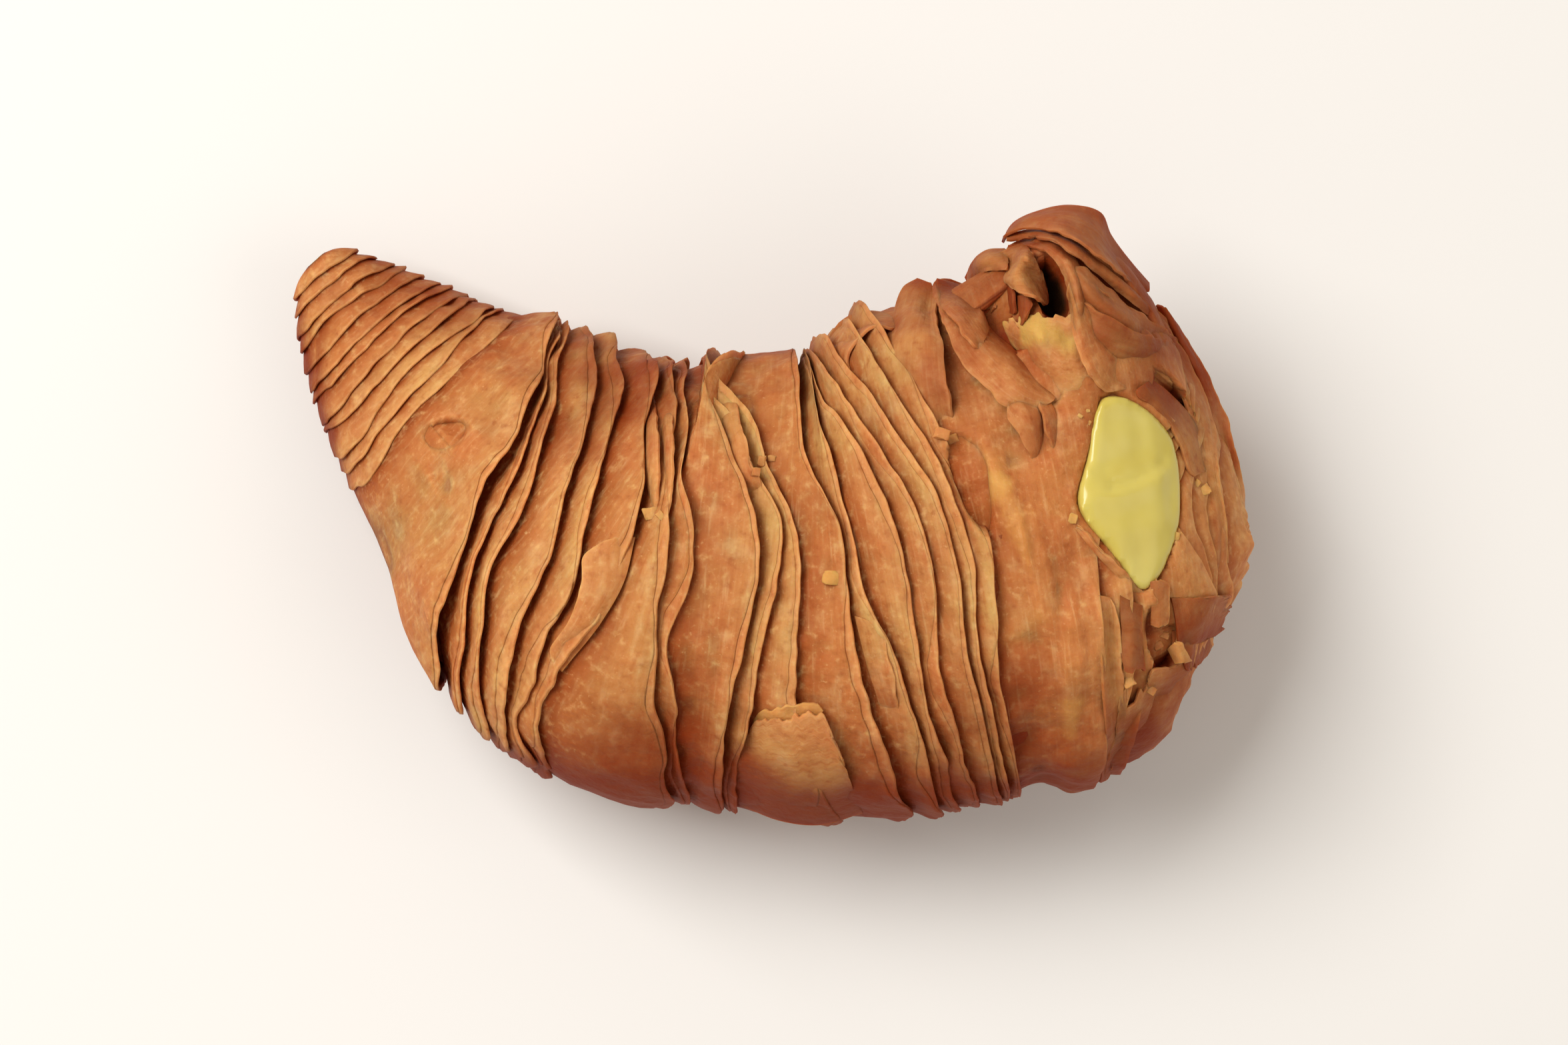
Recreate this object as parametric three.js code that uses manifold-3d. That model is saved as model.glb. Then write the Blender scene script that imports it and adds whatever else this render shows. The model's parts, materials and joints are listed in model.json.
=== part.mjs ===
// Lobster tail pastry: a curved, tapering body wrapped in thin dough leaves that overlap like
// roof tiles, with a pistachio cream filling that shows through a pointed mouth on the top.
//
// Millimetres, +Z up. The pastry lies on its flat base, the tail towards -X, the fat end
// towards +X, and the hollow side of its curve towards +Y. The origin is on the base plane,
// under the middle of the whole shape.
//
// A place on the body is given by its distance along the centreline from the tail tip and by
// an angle round it in degrees: 0 on the hollow side, 90 on the crest, 180 on the front.

import * as THREE from 'three';
import Module from 'manifold-3d';

const wasm = await Module();
wasm.setup();

// ---- Driving dimensions ----------------------------------------------------------------

// Stations from the tail tip to the fat end: the centreline's x and y, the half width without
// the leaves, how far the leaf edges lag on the hollow side and lead on the front, and how
// far they bow towards the fat end at the crest.
const STATIONS = [
  { x: -42.6, y: 26.6, half: 0, lag: 0, bow: 0 },
  { x: -37.6, y: 20.3, half: 7.2, lag: 0, bow: 0 },
  { x: -31.8, y: 13.9, half: 10.8, lag: 0.5, bow: 0 },
  { x: -24.6, y: 7.1, half: 14.4, lag: 6, bow: 0 },
  { x: -18.2, y: 1, half: 18.5, lag: 7.5, bow: 1 },
  { x: -12, y: -3.4, half: 20.6, lag: 4, bow: 3.5 },
  { x: -4.2, y: -4.6, half: 20.3, lag: 1.5, bow: 3 },
  { x: 4.4, y: -5.3, half: 20.8, lag: 1.5, bow: 2 },
  { x: 11.6, y: -4.2, half: 21.8, lag: 2.2, bow: 1 },
  { x: 19, y: -2.5, half: 22.3, lag: 0.6, bow: 1.3 },
  { x: 27.3, y: -1, half: 22, lag: 0.3, bow: 0.5 },
  { x: 35.5, y: 0.6, half: 19.6, lag: 0, bow: 0 },
  { x: 41, y: 1.6, half: 13.6, lag: 0, bow: 0 },
  { x: 45.3, y: 2.4, half: 0, lag: 0, bow: 0 },
];
const FULL_STATION = 10; // from here to the fat end the centreline stays level
const HEIGHT_SHARE = 0.87; // half height over half width
const TIP_HEIGHT = 11; // centre of the tail tip above the base
const TIP_REACH = 16; // length over which the tail comes down to the base
const SINK = 0.9; // how far the round underside is pressed flat
const MIDDLE = { x: 0.76, y: 1.17 }; // middle of the whole shape, which is put over the origin

// Swellings of the body: the bunched leaves on the hollow side, the rolled corner of the fold
// above them at the fat end, and beyond it. The last one is a dent at the broken corner.
const SWELLS = [
  { along: 72, angle: 22, reach: 7.5, spread: 26, rise: 3.2 },
  { along: 87.5, angle: 32, reach: 7.4, spread: 25, rise: 11 },
  { along: 95, angle: 25, reach: 5, spread: 34, rise: 3.4 },
  { along: 96, angle: 168, reach: 6.5, spread: 45, rise: -3.6 },
];

// Leaves: each has a free edge that faces the fat end and covers the root of the next one.
// These are their visible widths along the crest.
const TAIL_START = 1.6; // the first edge, from the tip
const TAIL_PITCH = 1.45;
const TAIL_LEAVES = 11; // after the first
const MIDDLE_WIDTHS = [
  8.9, 1.2, 1.9, 2.5, 2.4, 2.3, 4.3, 1.8, 2.2, 2.5, 5.7, 2.4, 1.7, 4.1, 0.9, 3.7, 2.7, 2.2, 1, 2.8,
];
const SMOOTH_WIDTH = 8.9; // the broad leaf beside the mouth
const END_WIDTHS = [2, 1.9, 2.8, 2.6, 2.4, 2.3, 2.2];
const TAIL_LIP = 0.5; // step at a tail leaf's edge
const BODY_LIP = 0.9; // step at a narrow leaf's edge
const LIP_PER_WIDTH = 0.12; // added step for each mm of visible width
const PINCH = { width: 1.2, least: 0.3 }; // a leaf pinched narrower than this stands less high
const NARROW = 2.5; // a leaf narrower than this has no ring of points in its middle
const SMOOTH_CREST = { angle: 80, spread: 40, share: 0.75 }; // where the end leaves lie flat
const WAVE = 0.8; // slow wander that neighbouring edges share
const JITTER = 0.35; // each edge's own wander
const EDGE_GAP = 0.3; // least distance between two edges
const SEED = 41;

// Leaf edges that fold up and stand off the body as ridges. Each key is a distance along, an
// angle and a height; lean tips the ridge towards the fat end where its angle grows.
const FOLDS = [
  // hoop on the hollow side
  { thick: 0.9, lean: 0, keys: [[64.5, 27, 0.8], [66.5, 14, 1.4], [69.5, 10, 1.5], [71.2, 22, 1.6], [71.6, 36, 0.7]] },
  // pointed leaf
  { thick: 1.2, lean: 0.4, keys: [[74, 6, 0.6], [74.2, 18, 1.8], [74, 34, 2.2], [73.8, 48, 1.6], [73.6, 61, 0.6]] },
  // long twisted flap
  { thick: 1.1, lean: 0.5, keys: [[76, 12, 0.8], [77.4, 28, 2.2], [79.4, 43, 2.2], [81.6, 54, 1.8], [83.6, 61, 0.6]] },
  // layers of the rolled corner
  { thick: 0.8, lean: 0, keys: [[81.6, 18, 0.8], [83.8, 26, 1.8], [87, 28, 2.2], [91, 29, 2.2], [95, 32, 1.6], [98, 38, 0.6]] },
  { thick: 0.7, lean: 0, keys: [[83.6, 40, 0.6], [86, 37, 1.6], [89.5, 38, 1.8], [93, 40, 1.4], [96, 44, 0.5]] },
];
const FOLD_SIDES = 8;
const FOLD_STEPS = 3; // rings between two keys
const FOLD_DEPTH = 0.45; // share of a fold's height that is sunk in the body

// Dark hollow in the rolled corner.
const HOLLOW = { along: 86, angle: 42, length: 3.2, width: 1.6, depth: 5 };

// Outline of the mouth seen from above.
const MOUTH = [
  [29.7, 12],
  [32.8, 11.9],
  [36.7, 9],
  [37.8, 4.5],
  [37.3, -0.8],
  [33.9, -6.4],
  [30.7, -3.1],
  [27.1, 1.6],
  [28, 5.7],
];
// Centreline of the filling from under the mouth towards the tail, with its half width and
// half height.
const FILLING = [
  { x: 34, y: 3, z: 25, across: 5.5, high: 5 },
  { x: 27, y: 2, z: 22, across: 8.5, high: 8 },
  { x: 18, y: -1.2, z: 20, across: 9.5, high: 8 },
  { x: 6, y: -4.2, z: 19, across: 9, high: 7.5 },
  { x: -6, y: -4.4, z: 18, across: 8, high: 7 },
  { x: -17, y: -2, z: 16, across: 6, high: 5.5 },
  { x: -23, y: 1.4, z: 14.5, across: 3.6, high: 3.2 },
];
const SHAFT_FOOT = 22; // height of the shaft's lowest point, inside the filling
const SHAFT_TOP = 50; // above everything
const FILLING_GAP = 0.3; // between the filling and the dough
const CREAM_BULGE = 0.9; // how far the cream swells in the mouth

// Facets
const AROUND = 44; // steps round the body
const ROUND_STEPS = 28; // steps round the mouth and the filling
const FILLING_RINGS = 20;
const PLAIN_PITCH = 2.2; // ring spacing of the body without leaves

// ---- Small maths -------------------------------------------------------------------------

const TAU = Math.PI * 2;
const radians = (degrees) => (degrees * Math.PI) / 180;
const wrapped = (a) => Math.atan2(Math.sin(a), Math.cos(a));
const hump = (d, spread) => Math.exp(-(d * d) / (spread * spread));
const steps = (count) => [...Array(count).keys()];
const circle = (count) => steps(count).map((j) => (TAU * j) / count);

// Numbers from 0 to 1 that are the same each run.
function randomStream(seed) {
  let state = seed;
  return () => {
    state = (state * 16807) % 2147483647;
    return state / 2147483647;
  };
}

// A smooth curve through (at[k], value[k]).
function smooth(at, value, t) {
  const last = at.length - 1;
  let k = 0;
  while (k < last - 1 && t > at[k + 1]) k++;
  const slope = (i) => {
    const a = Math.max(0, i - 1);
    const b = Math.min(last, i + 1);
    return (value[b] - value[a]) / (at[b] - at[a]);
  };
  const span = at[k + 1] - at[k];
  const s = Math.min(1, Math.max(0, (t - at[k]) / span));
  const s2 = s * s;
  const s3 = s2 * s;
  return (
    (2 * s3 - 3 * s2 + 1) * value[k] +
    (s3 - 2 * s2 + s) * span * slope(k) +
    (3 * s2 - 2 * s3) * value[k + 1] +
    (s3 - s2) * span * slope(k + 1)
  );
}

// ---- Body without leaves -------------------------------------------------------------------

const along = [0];
for (let k = 1; k < STATIONS.length; k++) {
  const a = STATIONS[k - 1];
  const b = STATIONS[k];
  along.push(along[k - 1] + Math.hypot(b.x - a.x, b.y - a.y));
}
const LENGTH = along[along.length - 1];
const FULL = along[FULL_STATION];
const column = (key) => STATIONS.map((s) => s[key]);
const xs = column('x');
const ys = column('y');
const halfSquares = column('half').map((w) => w * w); // gives the ends round noses
const lags = column('lag');
const bows = column('bow');

const halfWidth = (u) => Math.sqrt(Math.max(0, smooth(along, halfSquares, u)));
const restingHeight = (u) => HEIGHT_SHARE * halfWidth(u) - SINK;

// A point of the centreline: level at the fat end, and lifted at the tail tip.
function centre(u) {
  const lift = Math.max(0, 1 - u / TIP_REACH) ** 2;
  const level = Math.max(0, (u - FULL) / (LENGTH - FULL));
  const height = restingHeight(u) * (1 - level) + restingHeight(FULL) * level;
  return new THREE.Vector3(
    smooth(along, xs, u),
    smooth(along, ys, u),
    height * (1 - lift) + TIP_HEIGHT * lift,
  );
}

// The level directions along and across the body.
function directions(u) {
  const step = 0.4;
  const way = centre(Math.min(LENGTH, u + step)).sub(centre(Math.max(0, u - step)));
  way.setZ(0).normalize();
  return { way, side: new THREE.Vector3(-way.y, way.x, 0) };
}

// A point of the bare body.
function bare(u, angle) {
  const { side } = directions(u);
  const half = halfWidth(u);
  let swell = 0;
  for (const s of SWELLS)
    swell += s.rise * hump(u - s.along, s.reach) * hump(wrapped(angle - radians(s.angle)), radians(s.spread));
  return centre(u)
    .addScaledVector(side, (half + swell) * Math.cos(angle))
    .add(new THREE.Vector3(0, 0, (half * HEIGHT_SHARE + swell) * Math.sin(angle)));
}

// The outward direction of the body without its swellings, so that leaves never cross.
function outward(u, angle) {
  const step = 0.25;
  const low = Math.max(0, u - step);
  const high = Math.min(LENGTH, u + step);
  const slope = (halfWidth(high) - halfWidth(low)) / (high - low);
  const { way, side } = directions(u);
  return side
    .multiplyScalar(HEIGHT_SHARE * Math.cos(angle))
    .add(new THREE.Vector3(0, 0, Math.sin(angle)))
    .normalize()
    .addScaledVector(way, -slope)
    .normalize();
}

const over = (u, angle, height) => bare(u, angle).addScaledVector(outward(u, angle), height);

// ---- Leaves ----------------------------------------------------------------------------------

const widths = [
  TAIL_START,
  ...Array(TAIL_LEAVES).fill(TAIL_PITCH),
  ...MIDDLE_WIDTHS,
  SMOOTH_WIDTH,
  ...END_WIDTHS,
];
const FIRST_MIDDLE = 1 + TAIL_LEAVES;
const SMOOTH_LEAF = FIRST_MIDDLE + MIDDLE_WIDTHS.length;
const crest = []; // each edge's place at the crest
widths.forEach((width, i) => crest.push(i ? crest[i - 1] + width : width));

const random = randomStream(SEED);
const wander = widths.map(() => [random(), random(), random(), random()]);

// Where each leaf's edge lies at an angle, the edges kept in order.
function edges(angle) {
  const places = [];
  widths.forEach((_, i) => {
    const u = crest[i];
    const free = Math.min(1, u / 14, (LENGTH - u) / 12);
    const [a, b, c, d] = wander[i];
    const own = (a + 0.3) * Math.cos(2 * angle + TAU * b) + (c + 0.3) * Math.cos(3 * angle + TAU * d);
    const shared = Math.sin(2 * angle + 0.11 * u + 1) + 0.6 * Math.sin(3 * angle - 0.17 * u + 2);
    const place =
      u -
      smooth(along, lags, u) * Math.cos(angle) -
      smooth(along, bows, u) * Math.cos(angle) ** 2 +
      free * (JITTER * own + WAVE * shared);
    const least = i ? places[i - 1] + EDGE_GAP : 0.3;
    const most = LENGTH - 0.3 - EDGE_GAP * (widths.length - i);
    places.push(Math.min(most, Math.max(least, place)));
  });
  return places;
}

// How far a leaf's edge stands over the bare body, where so much of the leaf is visible.
function lip(i, angle, visible) {
  if (i < FIRST_MIDDLE) return TAIL_LIP;
  const pinch = Math.min(1, PINCH.least + visible / PINCH.width);
  const height = (BODY_LIP + LIP_PER_WIDTH * widths[i]) * pinch;
  if (i < SMOOTH_LEAF) return height;
  const flat = hump(wrapped(angle - radians(SMOOTH_CREST.angle)), radians(SMOOTH_CREST.spread));
  return height * (1 - SMOOTH_CREST.share * flat);
}

// ---- Solids ------------------------------------------------------------------------------------

// A closed solid through rings of points, each ring with the same count, closed to a point
// at both ends.
function loft(start, rings, end) {
  const count = rings[0].length;
  const points = [start, ...rings.flat(), end];
  const at = (r, j) => 1 + r * count + ((j + count) % count);
  const last = points.length - 1;
  const faces = [];
  for (let j = 0; j < count; j++) {
    faces.push(0, at(0, j + 1), at(0, j));
    for (let r = 0; r + 1 < rings.length; r++) {
      faces.push(at(r, j), at(r, j + 1), at(r + 1, j));
      faces.push(at(r, j + 1), at(r + 1, j + 1), at(r + 1, j));
    }
    faces.push(last, at(rings.length - 1, j), at(rings.length - 1, j + 1));
  }
  return new wasm.Manifold(
    new wasm.Mesh({
      numProp: 3,
      vertProperties: new Float32Array(points.flatMap((p) => [p.x, p.y, p.z])),
      triVerts: new Uint32Array(faces),
    }),
  );
}

const angles = circle(AROUND);

// The whole body with its leaves: foot, middle and edge of each leaf.
function leafyBody() {
  const edgesAt = angles.map(edges);
  const rings = [];
  widths.forEach((width, i) => {
    const foot = (j) => (i ? edgesAt[j][i - 1] + EDGE_GAP / 2 : 0.15);
    const middle = (j) => foot(j) * 0.4 + edgesAt[j][i] * 0.6;
    const height = (a, j) => lip(i, a, edgesAt[j][i] - foot(j));
    rings.push(angles.map((a, j) => over(foot(j), a, 0)));
    if (width > NARROW) rings.push(angles.map((a, j) => over(middle(j), a, 0.35 * height(a, j))));
    rings.push(angles.map((a, j) => over(edgesAt[j][i], a, height(a, j))));
  });
  const beyond = (j) => (edgesAt[j][widths.length - 1] + LENGTH) / 2;
  rings.push(angles.map((a, j) => over(beyond(j), a, 0.1)));
  return loft(centre(0), rings, centre(LENGTH));
}

// The body without leaves, with its surface moved out by a height.
function plainBody(height) {
  const count = Math.floor(LENGTH / PLAIN_PITCH);
  const rings = steps(count).map((k) => angles.map((a) => over((k + 0.5) * PLAIN_PITCH, a, height)));
  return loft(centre(0), rings, centre(LENGTH));
}

// A ridge that follows its keys over the body.
function fold({ thick, lean, keys }) {
  const at = keys.map((_, k) => k);
  const value = (field, t) => smooth(at, keys.map((key) => key[field]), t);
  const foot = (t) => bare(value(0, t), radians(value(1, t)));
  const last = keys.length - 1;
  const rings = steps(last * FOLD_STEPS + 1).map((r) => {
    const t = r / FOLD_STEPS;
    const height = value(2, t);
    const up = outward(value(0, t), radians(value(1, t)));
    const way = foot(Math.min(last, t + 0.1)).sub(foot(Math.max(0, t - 0.1))).normalize();
    const side = up.clone().cross(way).normalize();
    const reach = (height * (1 + FOLD_DEPTH)) / 2;
    const middle = foot(t)
      .addScaledVector(up, height - reach)
      .addScaledVector(side, lean * height);
    return circle(FOLD_SIDES).map((a) =>
      middle
        .clone()
        .addScaledVector(side, thick * Math.cos(a) + lean * reach * Math.sin(a))
        .addScaledVector(up, reach * Math.sin(a)),
    );
  });
  const end = (r, t) => foot(t).addScaledVector(outward(value(0, t), radians(value(1, t))), r);
  const solid = loft(end(-0.4, 0), rings, end(-0.4, last));
  return solid;
}

// The hollow in the rolled corner: a pointed egg that sinks into the body.
function hollow({ along: u, angle, length, width, depth }) {
  const a = radians(angle);
  const up = outward(u, a);
  const way = bare(u + 0.5, a).sub(bare(u - 0.5, a)).normalize();
  const side = up.clone().cross(way);
  const middle = bare(u, a);
  const ring = (height, share) =>
    circle(12).map((c) =>
      middle
        .clone()
        .addScaledVector(up, height)
        .addScaledVector(side, length * share * Math.cos(c))
        .addScaledVector(way, width * share * Math.sin(c)),
    );
  const top = middle.clone().addScaledVector(up, 4);
  const bottom = middle.clone().addScaledVector(up, -depth);
  return loft(top, [ring(4, 1), ring(0, 1), ring(-0.6 * depth, 0.75)], bottom);
}

// The space that the filling takes: down through the mouth, then back through the body. A
// margin makes it smaller all round.
function fillingSpace(margin) {
  const outline = new THREE.CatmullRomCurve3(
    MOUTH.map(([x, y]) => new THREE.Vector3(x, y, 0)),
    true,
    'centripetal',
  ).getPoints(ROUND_STEPS);
  outline.pop();
  const middle = new THREE.Vector3();
  outline.forEach((p) => middle.addScaledVector(p, 1 / outline.length));
  const level = (z) =>
    outline.map((p) => {
      const out = p.clone().sub(middle);
      return middle.clone().addScaledVector(out, 1 - margin / out.length()).setZ(z);
    });
  const shaft = loft(
    middle.clone().setZ(SHAFT_TOP),
    [level(SHAFT_TOP), level(SHAFT_FOOT + 2)],
    middle.clone().setZ(SHAFT_FOOT + margin),
  );

  const path = new THREE.CatmullRomCurve3(
    FILLING.map((f) => new THREE.Vector3(f.x, f.y, f.z)),
    false,
    'centripetal',
  );
  const knots = FILLING.map((_, k) => k);
  const half = (key, t) => smooth(knots, FILLING.map((f) => f[key]), t * (knots.length - 1)) - margin;
  const rings = steps(FILLING_RINGS + 1).map((r) => {
    const t = r / FILLING_RINGS;
    const way = path.getTangent(t);
    const side = new THREE.Vector3(0, 0, 1).cross(way).normalize();
    const up = way.clone().cross(side);
    return circle(ROUND_STEPS).map((a) =>
      path
        .getPoint(t)
        .addScaledVector(side, half('across', t) * Math.cos(a))
        .addScaledVector(up, half('high', t) * Math.sin(a)),
    );
  });
  const cap = 2 - margin;
  const start = path.getPoint(0).addScaledVector(path.getTangent(0), -cap);
  const end = path.getPoint(1).addScaledVector(path.getTangent(1), cap);
  return shaft.add(loft(start, rings, end));
}

// Everything under the base plane, taken off to leave a flat to rest on.
function underFloor() {
  const reach = 90;
  const square = (z) =>
    [[-1, -1], [1, -1], [1, 1], [-1, 1]].map(([x, y]) => new THREE.Vector3(x * reach, y * reach, z));
  const deep = -reach;
  return loft(new THREE.Vector3(0, 0, deep), [square(deep), square(0)], new THREE.Vector3(0, 0, 0));
}

// The cuts can leave loose scraps, which are dropped.
const largest = (solid) => solid.decompose().reduce((a, b) => (a.volume() > b.volume() ? a : b));

const dough = largest(
  FOLDS.map(fold)
    .reduce((body, ridge) => body.add(ridge), leafyBody())
    .subtract(hollow(HOLLOW))
    .subtract(underFloor())
    .subtract(fillingSpace(0)),
);
const cream = largest(fillingSpace(FILLING_GAP).intersect(plainBody(CREAM_BULGE)));

// ---- Scene graph -----------------------------------------------------------------------------

function meshOf(solid, name, material) {
  const { vertProperties, triVerts } = solid.getMesh();
  const geometry = new THREE.BufferGeometry()
    .setAttribute('position', new THREE.BufferAttribute(vertProperties, 3))
    .setIndex(new THREE.BufferAttribute(triVerts, 1));
  geometry.computeVertexNormals();
  const mesh = new THREE.Mesh(geometry, material);
  mesh.name = name;
  return mesh;
}

const bakedDough = new THREE.MeshStandardMaterial({ color: 0xb9773f, roughness: 0.6, metalness: 0 });
const pistachioCream = new THREE.MeshStandardMaterial({ color: 0xcbb95a, roughness: 0.3, metalness: 0 });

const pastry = new THREE.Group();
pastry.name = 'lobster_tail_pastry';
pastry.position.set(-MIDDLE.x, -MIDDLE.y, 0);
pastry.add(meshOf(dough, 'dough', bakedDough), meshOf(cream, 'cream', pistachioCream));

export default pastry;
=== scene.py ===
import json
import math
import random

import bpy
import numpy as np
from mathutils import Matrix, Vector
from mathutils.bvhtree import BVHTree

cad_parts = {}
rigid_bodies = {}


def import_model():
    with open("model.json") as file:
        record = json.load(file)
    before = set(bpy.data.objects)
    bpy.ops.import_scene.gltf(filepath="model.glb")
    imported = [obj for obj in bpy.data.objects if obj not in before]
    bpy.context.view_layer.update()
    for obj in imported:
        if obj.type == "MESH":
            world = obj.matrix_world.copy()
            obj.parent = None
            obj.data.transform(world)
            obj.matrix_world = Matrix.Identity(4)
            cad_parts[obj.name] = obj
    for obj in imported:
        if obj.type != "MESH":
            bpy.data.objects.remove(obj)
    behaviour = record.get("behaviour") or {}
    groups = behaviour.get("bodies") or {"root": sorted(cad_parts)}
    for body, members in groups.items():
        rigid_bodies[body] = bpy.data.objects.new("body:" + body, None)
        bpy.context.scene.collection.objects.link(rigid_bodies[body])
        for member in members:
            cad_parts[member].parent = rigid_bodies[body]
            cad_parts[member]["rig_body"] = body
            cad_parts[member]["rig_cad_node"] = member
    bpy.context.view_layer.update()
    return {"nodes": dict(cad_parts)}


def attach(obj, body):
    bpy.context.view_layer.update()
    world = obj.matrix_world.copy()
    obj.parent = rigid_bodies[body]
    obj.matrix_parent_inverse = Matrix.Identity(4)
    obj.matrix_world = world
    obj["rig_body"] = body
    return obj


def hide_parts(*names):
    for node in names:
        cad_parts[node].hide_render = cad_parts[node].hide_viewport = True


# A lobster tail pastry: a curved body wrapped in thin baked leaves of dough, with pistachio cream
# in a pointed mouth. Sizes here are in millimetres, as in the part's source, and become metres
# when a piece is made. A place on the body is a distance along its centreline from the tail tip
# and an angle round it: 0 on the hollow side of the curve, 90 on the crest, 180 on the front.

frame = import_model()

MM = 0.001
TAU = 2 * math.pi

# ---- The body, from the same named sizes as the solid ------------------------------------------

# Stations from the tail tip to the fat end: the centreline's x and y, and the half width
STATIONS = np.array([
    (-42.6, 26.6, 0),
    (-37.6, 20.3, 7.2),
    (-31.8, 13.9, 10.8),
    (-24.6, 7.1, 14.4),
    (-18.2, 1, 18.5),
    (-12, -3.4, 20.6),
    (-4.2, -4.6, 20.3),
    (4.4, -5.3, 20.8),
    (11.6, -4.2, 21.8),
    (19, -2.5, 22.3),
    (27.3, -1, 22),
    (35.5, 0.6, 19.6),
    (41, 1.6, 13.6),
    (45.3, 2.4, 0),
])
FULL_STATION = 10  # from here to the fat end the centreline stays level
HEIGHT_SHARE = 0.87  # half height over half width
TIP_HEIGHT = 11  # centre of the tail tip above the base
TIP_REACH = 16  # length over which the tail comes down to the base
SINK = 0.9  # how far the round underside is pressed flat
MIDDLE = np.array([0.76, 1.17, 0])  # middle of the whole shape, which lies over the origin

# Swellings: distance along, angle, reach along, spread in degrees, rise. Those with a rise
# below 0 are dents: the broken corner, and the dip beside the last ridge.
SWELLS = [
    (72, 22, 7.5, 26, 3.2),
    (87.5, 32, 7.4, 25, 11),
    (95, 25, 5, 34, 3.4),
    (96, 168, 6.5, 45, -3.6),
    (95, 160, 6, 28, -1.4),
    (77.5, 192, 2.2, 26, -1.6),
]


def smooth(at, value, t):
    """A smooth curve through (at, value)."""
    at = np.asarray(at, float)
    value = np.asarray(value, float)
    last = len(at) - 1
    k = np.clip(np.searchsorted(at, t, side="left") - 1, 0, last - 1)

    def slope(i):
        low = np.maximum(0, i - 1)
        high = np.minimum(last, i + 1)
        return (value[high] - value[low]) / (at[high] - at[low])

    span = at[k + 1] - at[k]
    s = np.clip((t - at[k]) / span, 0, 1)
    s2 = s * s
    s3 = s2 * s
    start = (2 * s3 - 3 * s2 + 1) * value[k] + (s3 - 2 * s2 + s) * span * slope(k)
    return start + (3 * s2 - 2 * s3) * value[k + 1] + (s3 - s2) * span * slope(k + 1)


def hump(distance, spread):
    """1 at no distance, falling away softly on both sides."""
    return np.exp(-((distance / spread) ** 2))


def ramp(low, high, value):
    """0 below low, 1 above high, and a soft step between."""
    s = np.clip((value - low) / (high - low), 0, 1)
    return s * s * (3 - 2 * s)


def turn(angle):
    """An angle in degrees as -180 to 180."""
    return (np.asarray(angle) + 180) % 360 - 180


ALONG = np.concatenate([[0], np.cumsum(np.hypot(*np.diff(STATIONS[:, :2], axis=0).T))])
LENGTH = ALONG[-1]
FULL = ALONG[FULL_STATION]


def station(column, u):
    """The centreline's x or y."""
    return smooth(ALONG, STATIONS[:, column], u)


def half_width(u):
    """Half the width without the leaves, round at both ends."""
    return np.sqrt(np.maximum(0, smooth(ALONG, STATIONS[:, 2] ** 2, u)))


def centre_height(u):
    """The centreline's height, so that the body rests on the base but for its ends."""
    lift = np.maximum(0, 1 - u / TIP_REACH) ** 2
    resting = HEIGHT_SHARE * half_width(u) - SINK
    level = np.maximum(0, (u - FULL) / (LENGTH - FULL))
    height = resting * (1 - level) + (HEIGHT_SHARE * half_width(FULL) - SINK) * level
    return height * (1 - lift) + TIP_HEIGHT * lift


def directions(u):
    """The level directions along and across the body."""
    high = np.minimum(LENGTH, u + 0.4)
    low = np.maximum(0, u - 0.4)
    dx = station(0, high) - station(0, low)
    dy = station(1, high) - station(1, low)
    run = np.hypot(dx, dy)
    flat = np.zeros_like(run)
    along = np.stack([dx, dy, flat], -1) / run[..., None]
    across = np.stack([-dy, dx, flat], -1) / run[..., None]
    return along, across


def bare(u, angle):
    """A point of the body without its leaves."""
    across, up = np.cos(np.radians(angle)), np.sin(np.radians(angle))
    half = half_width(u)
    swell = sum(
        rise * hump(u - along, reach) * hump(turn(angle - where), spread)
        for along, where, reach, spread, rise in SWELLS
    )
    side = directions(u)[1]
    point = np.stack([station(0, u), station(1, u), centre_height(u)], -1)
    point = point + side * ((half + swell) * across)[..., None]
    point[..., 2] += (half * HEIGHT_SHARE + swell) * up
    return point


def outward(u, angle):
    """The direction straight out of the bare body."""
    low = np.maximum(0, u - 0.25)
    high = np.minimum(LENGTH, u + 0.25)
    slope = (half_width(high) - half_width(low)) / (high - low)
    way, side = directions(u)
    out = side * (HEIGHT_SHARE * np.cos(np.radians(angle)))[..., None]
    out[..., 2] += np.sin(np.radians(angle))
    out /= np.linalg.norm(out, axis=-1, keepdims=True)
    out = out - way * slope[..., None]
    return out / np.linalg.norm(out, axis=-1, keepdims=True)


def over(u, angle, height):
    """A point so far over the bare body."""
    u, angle, height = np.broadcast_arrays(
        np.asarray(u, float), np.asarray(angle, float), np.asarray(height, float)
    )
    return bare(u, angle) + outward(u, angle) * height[..., None]


# ---- Leaf edges --------------------------------------------------------------------------------

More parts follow.
